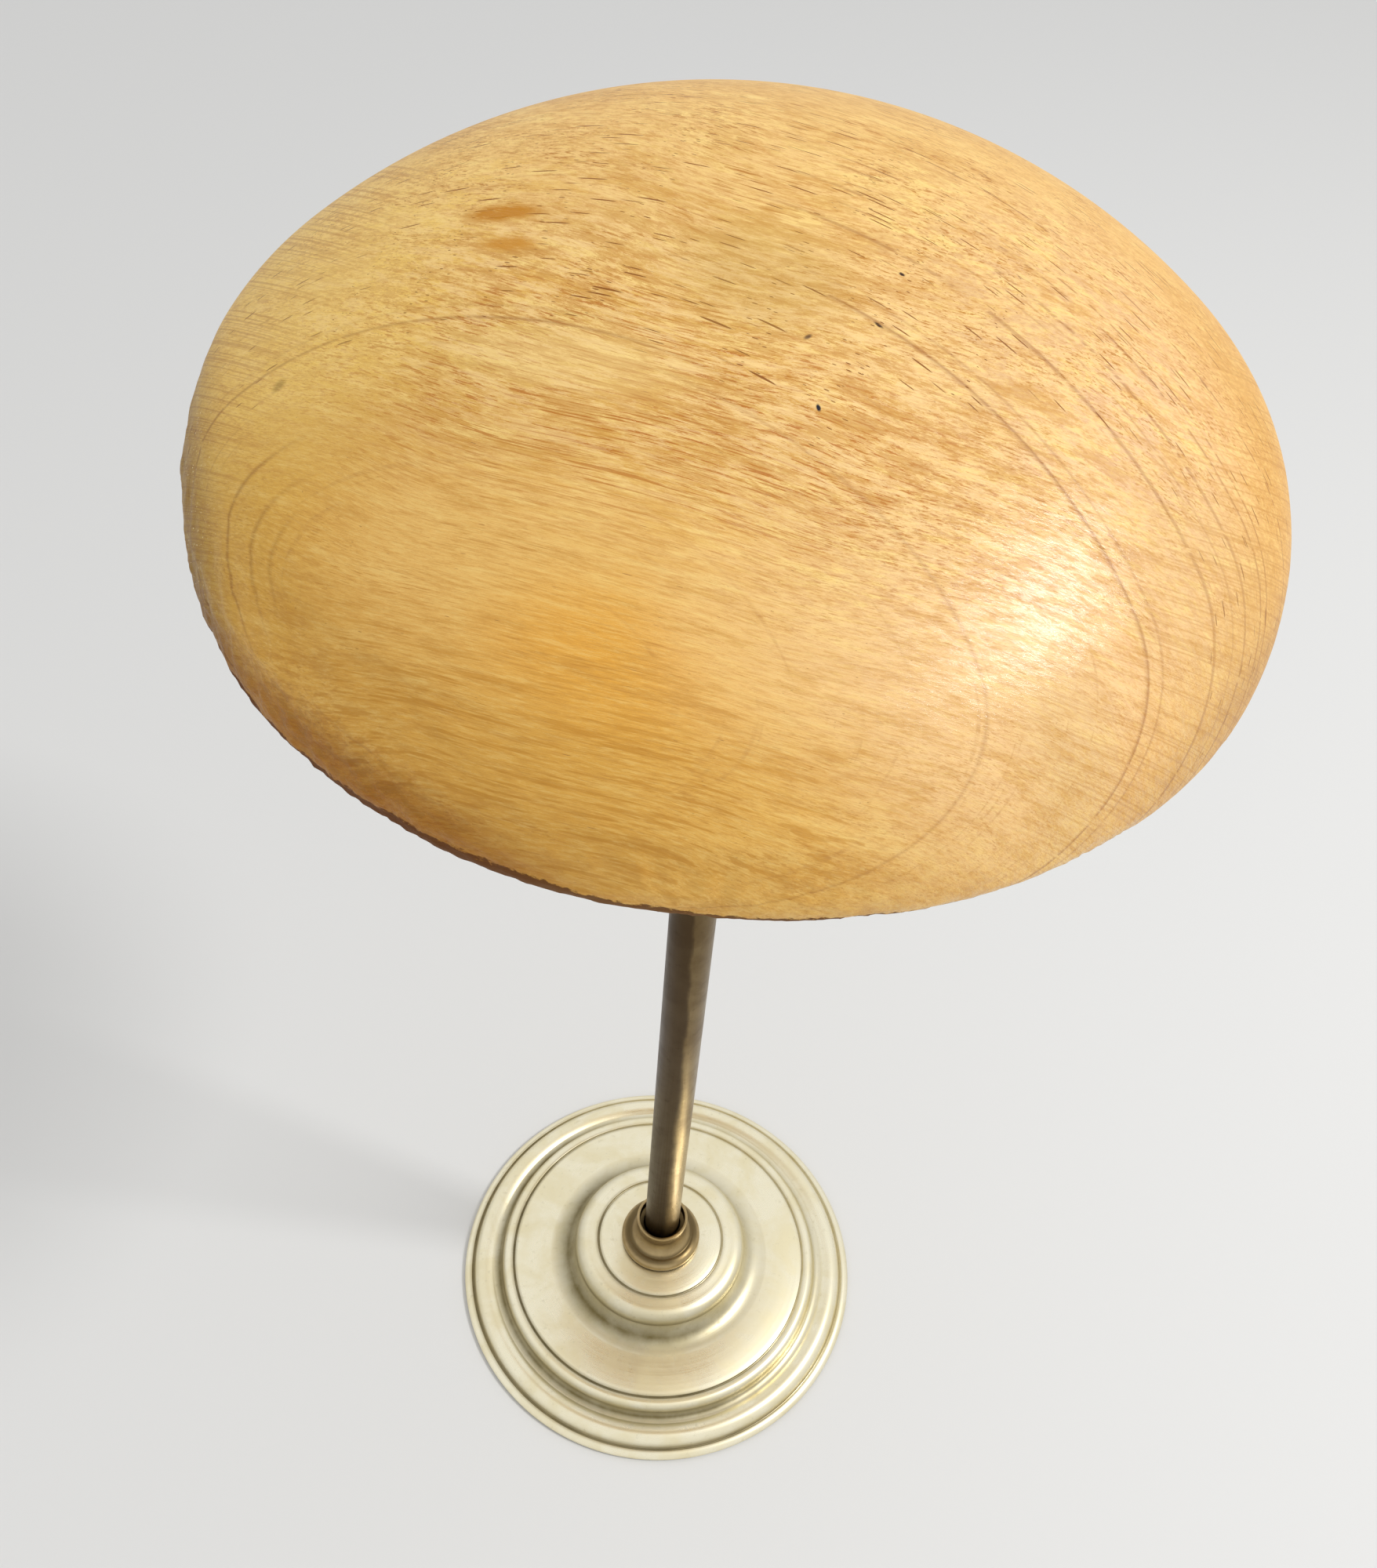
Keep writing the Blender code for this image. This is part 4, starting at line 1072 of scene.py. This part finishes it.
def beech():
    """Beech as a solid, so its rings, rays and end grain agree on every side. Its top is
    under old varnish, and its underside is bare and shows the turning tool's marks."""
    made, shader, place = new_finish("varnished_beech")
    _, front, _ = put("SeparateXYZ", {0: place}).outputs
    from_middle, height = lathe_place(place)
    grain, radius, _, ring_wood = in_the_trunk(place, front, *RING_DRIFT)
    _, _, needle_wood, wood = in_the_trunk(place, front, *FIBRE_DRIFT)

    worn = patch(place, *WORN_CROWN)
    ragged = noise(wood, (8, 1.7, 4), detail=5, rough=0.72)
    worn = times(worn, between(ragged, 0.42, 0.51))
    tone = between(noise(wood, (40, 5, 8), detail=4, rough=0.6), 0.3, 0.7)
    fibres = noise(wood, (2.4, 0.16, 0.5), detail=3, rough=0.6)
    flakes = noise(wood, (3.0, 0.38, 1.0), detail=5, rough=0.8)
    colour = board_colour(place, wood, worn, tone)
    colour = opened_grain(place, wood, worn, fibres, flakes, colour)
    colour = front_strips(place, wood, colour)
    colour = growth_rings(place, front, grain, radius, ring_wood, colour)
    colour, sunk = rays(place, grain, ring_wood, needle_wood, colour)
    colour = marks_shade_and_glints(place, needle_wood, flakes, colour)

    knocked = patch(place, *KNOCKED_RIM)
    pecks = noise(wood, (3.2, 0.8, 1.3), detail=4, rough=0.65)
    # Dirt with painted shade in the low parts of the knocked rim's pecks.
    dent_dirt_and_shade = times(knocked, between(pecks, 0.52, 0.42, 0, 0.5))
    colour = blend(dent_dirt_and_shade, colour, KNOCK_DIRT_AND_SHADE)
    # Below the varnish's ragged border the edge turns under: a dark band of dirt and painted shade.
    under = chipped_edge(place, height)
    colour = blend(times(under, 0.9), colour, EDGE_DIRT_AND_SHADE)
    bare = between_mm(height, HEAD_BOTTOM + 1.9, HEAD_BOTTOM + 0.9)
    plain = blend(tone, BARE_DEEP, BARE_PALE)
    plain = blend(between(fibres, 0.45, 0.7, 0, 0.5), plain, BARE_FIBRE)
    wire(blend(bare, colour, plain), shader, "Base Color")

    matt = maths("ADD", between(worn, 0.0, 1.0, 0.36, 0.5), times(fibres, 0.06))
    bared = maths("MAXIMUM", bare, under)
    wire(between(bared, 0.0, 1.0, matt, 0.62), shader, "Roughness")
    shader.inputs["Specular IOR Level"].default_value = 0.06
    glossy = patch(place, *GLOSSY_SIDE)
    broken = noise(wood, (3.5, 0.8, 1.6), detail=4, rough=0.7)
    glossy = times(glossy, between(broken, 0.45, 0.54, 0.22, 0.8))
    varnish = maths("ADD", between(worn, 0.0, 1.0, 0.08, 0.05), glossy)
    varnish = maths("SUBTRACT", varnish, times(bared, 0.6))
    wire(maths("MAXIMUM", varnish, 0.0), shader, "Coat Weight")
    shader.inputs["Coat Roughness"].default_value = 0.15

    turning = maths("SINE", times(from_middle, math.tau / (TURNING_PITCH * MM)))
    skin = maths("ADD", fibres, times(flakes, 0.8))
    skin = maths("SUBTRACT", skin, times(sunk, 0.9))
    skin = maths("ADD", skin, times(turning, bare, 0.25))
    skin = maths("ADD", skin, times(knocked, pecks, 6.0))
    relief(skin, 0.055, shader)
    brushed = noise(wood, (2.6, 0.8, 1.5), detail=4, rough=0.65)
    brushed = maths("ADD", brushed, times(flakes, 0.6))
    relief(brushed, 0.055, shader, "Coat Normal")
    return made


def spread_dents(piece, name, share, scale, depth, basis="ORIGINAL_PERLIN"):
    """Knocks dents into part of a piece. Share gives how hard each place is knocked."""
    group = piece.vertex_groups.new(name=name)
    for vertex in piece.data.vertices:
        knock = share(vertex.co / MM)
        if knock > 0.001:
            group.add([vertex.index], min(knock, 1.0), "REPLACE")
    knocks = bpy.data.textures.new(name, "CLOUDS")
    knocks.noise_scale = scale * MM
    knocks.noise_basis = basis
    knocks.noise_depth = 2
    take(piece)
    bpy.ops.object.modifier_add(type="DISPLACE")
    push = piece.modifiers[-1]
    push.texture = knocks
    push.texture_coords = "LOCAL"
    push.vertex_group = name
    push.strength = depth * MM
    push.mid_level = 1.0
    bpy.ops.object.modifier_apply(modifier=push.name)
    piece.vertex_groups.remove(piece.vertex_groups[name])


def rim_band(place, low, high):
    """1 halfway up a band of the rim, and 0 at its lower and upper edge."""
    if not low < place.z < high or place.xy.length < 50:
        return 0.0
    return math.sin(math.pi * (place.z - low) / (high - low)) ** 0.5


def knocked_side(place, middle, reach):
    """1 on the side of the rim that faces an azimuth in degrees, fading to 0 beyond reach."""
    away = math.degrees(math.atan2(place.y, place.x)) - middle
    away = abs((away + 180) % 360 - 180)
    return max(0.0, min(1.0, (reach - away) / 25))


def lower_edge_knocks(place):
    """The head's lower edge is chipped here and there all round, and most at the front."""
    patchy = min(1.0, max(0.15, 0.6 + 1.6 * mathutils.noise.noise(place / 7)))
    return rim_band(place, 267.9, 274.5) * patchy * (0.35 + 0.65 * knocked_side(place, -110, 80))


def left_shoulder_knocks(place):
    """Old dents roll over the left edge of the head."""
    return rim_band(place, 270, 291) * (0.12 + 0.88 * knocked_side(place, -160, 65))


def lower_left_knocks(place):
    """Smaller knocks lie close together along the lower left edge."""
    return rim_band(place, 268.5, 282) * knocked_side(place, -128, 62)


head = turn("turned_beech_head", head_line(), steps=700, crisp=40)
spread_dents(head, "edge_chips", lower_edge_knocks, scale=1.3, depth=0.6, basis="VORONOI_F1")
spread_dents(head, "shoulder_dents", left_shoulder_knocks, scale=3.5, depth=0.9)
spread_dents(head, "corner_dents", lower_left_knocks, scale=2.1, depth=0.9)
fit(head, beech(), "beech", "head")


# Studio: a wide pale floor, an even white surround, and one large soft lamp on the right.
# The camera has a phone's wide lens, looks steeply down and is slightly tilted.
FLOOR_WIDTH = 6
FLOOR_COLOUR = (0.78, 0.78, 0.77, 1)
LAMP_AZIMUTH = -9
LAMP_ELEVATION = 45
LAMP_DISTANCE = 1.29
LAMP_SIZE = 0.26
LAMP_POWER = 8.5
LAMP_AIM = Vector((0, 0, 0.2))
FILL_LIGHT = 0.68
SEEN_WHITE = 0.92
CAMERA_LENS = 31.68
CAMERA_SHIFT = 0.085
CAMERA_PLACE = (0, -0.16608, 0.39222)
CAMERA_DOWN = 52.891
CAMERA_TURN = -0.286
CAMERA_ROLL = 5.538


def studio_floor():
    """A wide, pale, matt floor."""
    bpy.ops.object.select_all(action="DESELECT")
    bpy.ops.mesh.primitive_plane_add(size=FLOOR_WIDTH, location=(0, 0, 0))
    floor = bpy.context.object
    floor.name = "studio_floor"
    made, shader, _ = new_finish("pale_floor")
    shader.inputs["Base Color"].default_value = FLOOR_COLOUR
    shader.inputs["Roughness"].default_value = 0.9
    floor.data.materials.append(made)


def key_softbox():
    """A square soft box that faces the stand."""
    lamp = bpy.data.lights.new("key_softbox", "AREA")
    lamp.size = LAMP_SIZE
    lamp.energy = LAMP_POWER
    holder = bpy.data.objects.new("key_softbox", lamp)
    bpy.context.scene.collection.objects.link(holder)
    around, up = math.radians(LAMP_AZIMUTH), math.radians(LAMP_ELEVATION)
    towards = Vector((math.cos(around) * math.cos(up), math.sin(around) * math.cos(up), math.sin(up)))
    holder.location = LAMP_AIM + towards * LAMP_DISTANCE
    holder.rotation_euler = (-towards).to_track_quat("-Z", "Y").to_euler()


def studio_world():
    """A plain fill light, which the eye and the brass's reflections see as white."""
    world = bpy.data.worlds.new("studio")
    world.use_nodes = True
    bpy.context.scene.world = world
    tree = world.node_tree
    ray = tree.nodes.new("ShaderNodeLightPath")
    seen = maths("MAXIMUM", ray.outputs["Is Camera Ray"], ray.outputs["Is Glossy Ray"])
    seen = maths("MAXIMUM", seen, ray.outputs["Is Transmission Ray"])
    strength = put("MapRange", {"Value": seen, 3: FILL_LIGHT, 4: SEEN_WHITE}).outputs[0]
    wire(strength, tree.nodes["Background"], "Strength")
    tree.nodes["Background"].inputs["Color"].default_value = (1, 1, 1, 1)


def phone_camera():
    """The camera, placed and turned by its own angles."""
    camera = bpy.data.cameras.new("camera")
    camera.sensor_fit = "VERTICAL"
    camera.sensor_height = 36
    camera.sensor_width = 36
    camera.lens = CAMERA_LENS
    camera.shift_y = CAMERA_SHIFT
    camera.clip_start = 0.01
    holder = bpy.data.objects.new("camera", camera)
    bpy.context.scene.collection.objects.link(holder)
    down, roll = math.radians(CAMERA_DOWN), math.radians(CAMERA_ROLL)
    level = Vector((math.sin(math.radians(CAMERA_TURN)), math.cos(math.radians(CAMERA_TURN)), 0))
    ahead = level * math.cos(down) - Vector((0, 0, math.sin(down)))
    right = ahead.cross(Vector((0, 0, 1))).normalized()
    above = right.cross(ahead)
    tilted_right = right * math.cos(roll) + above * math.sin(roll)
    tilted_above = above * math.cos(roll) - right * math.sin(roll)
    turn_to = Matrix((tilted_right, tilted_above, -ahead)).transposed().to_4x4()
    holder.matrix_world = Matrix.Translation(CAMERA_PLACE) @ turn_to
    bpy.context.scene.camera = holder


studio_floor()
key_softbox()
studio_world()
phone_camera()
bpy.context.scene.view_settings.view_transform = "Standard"
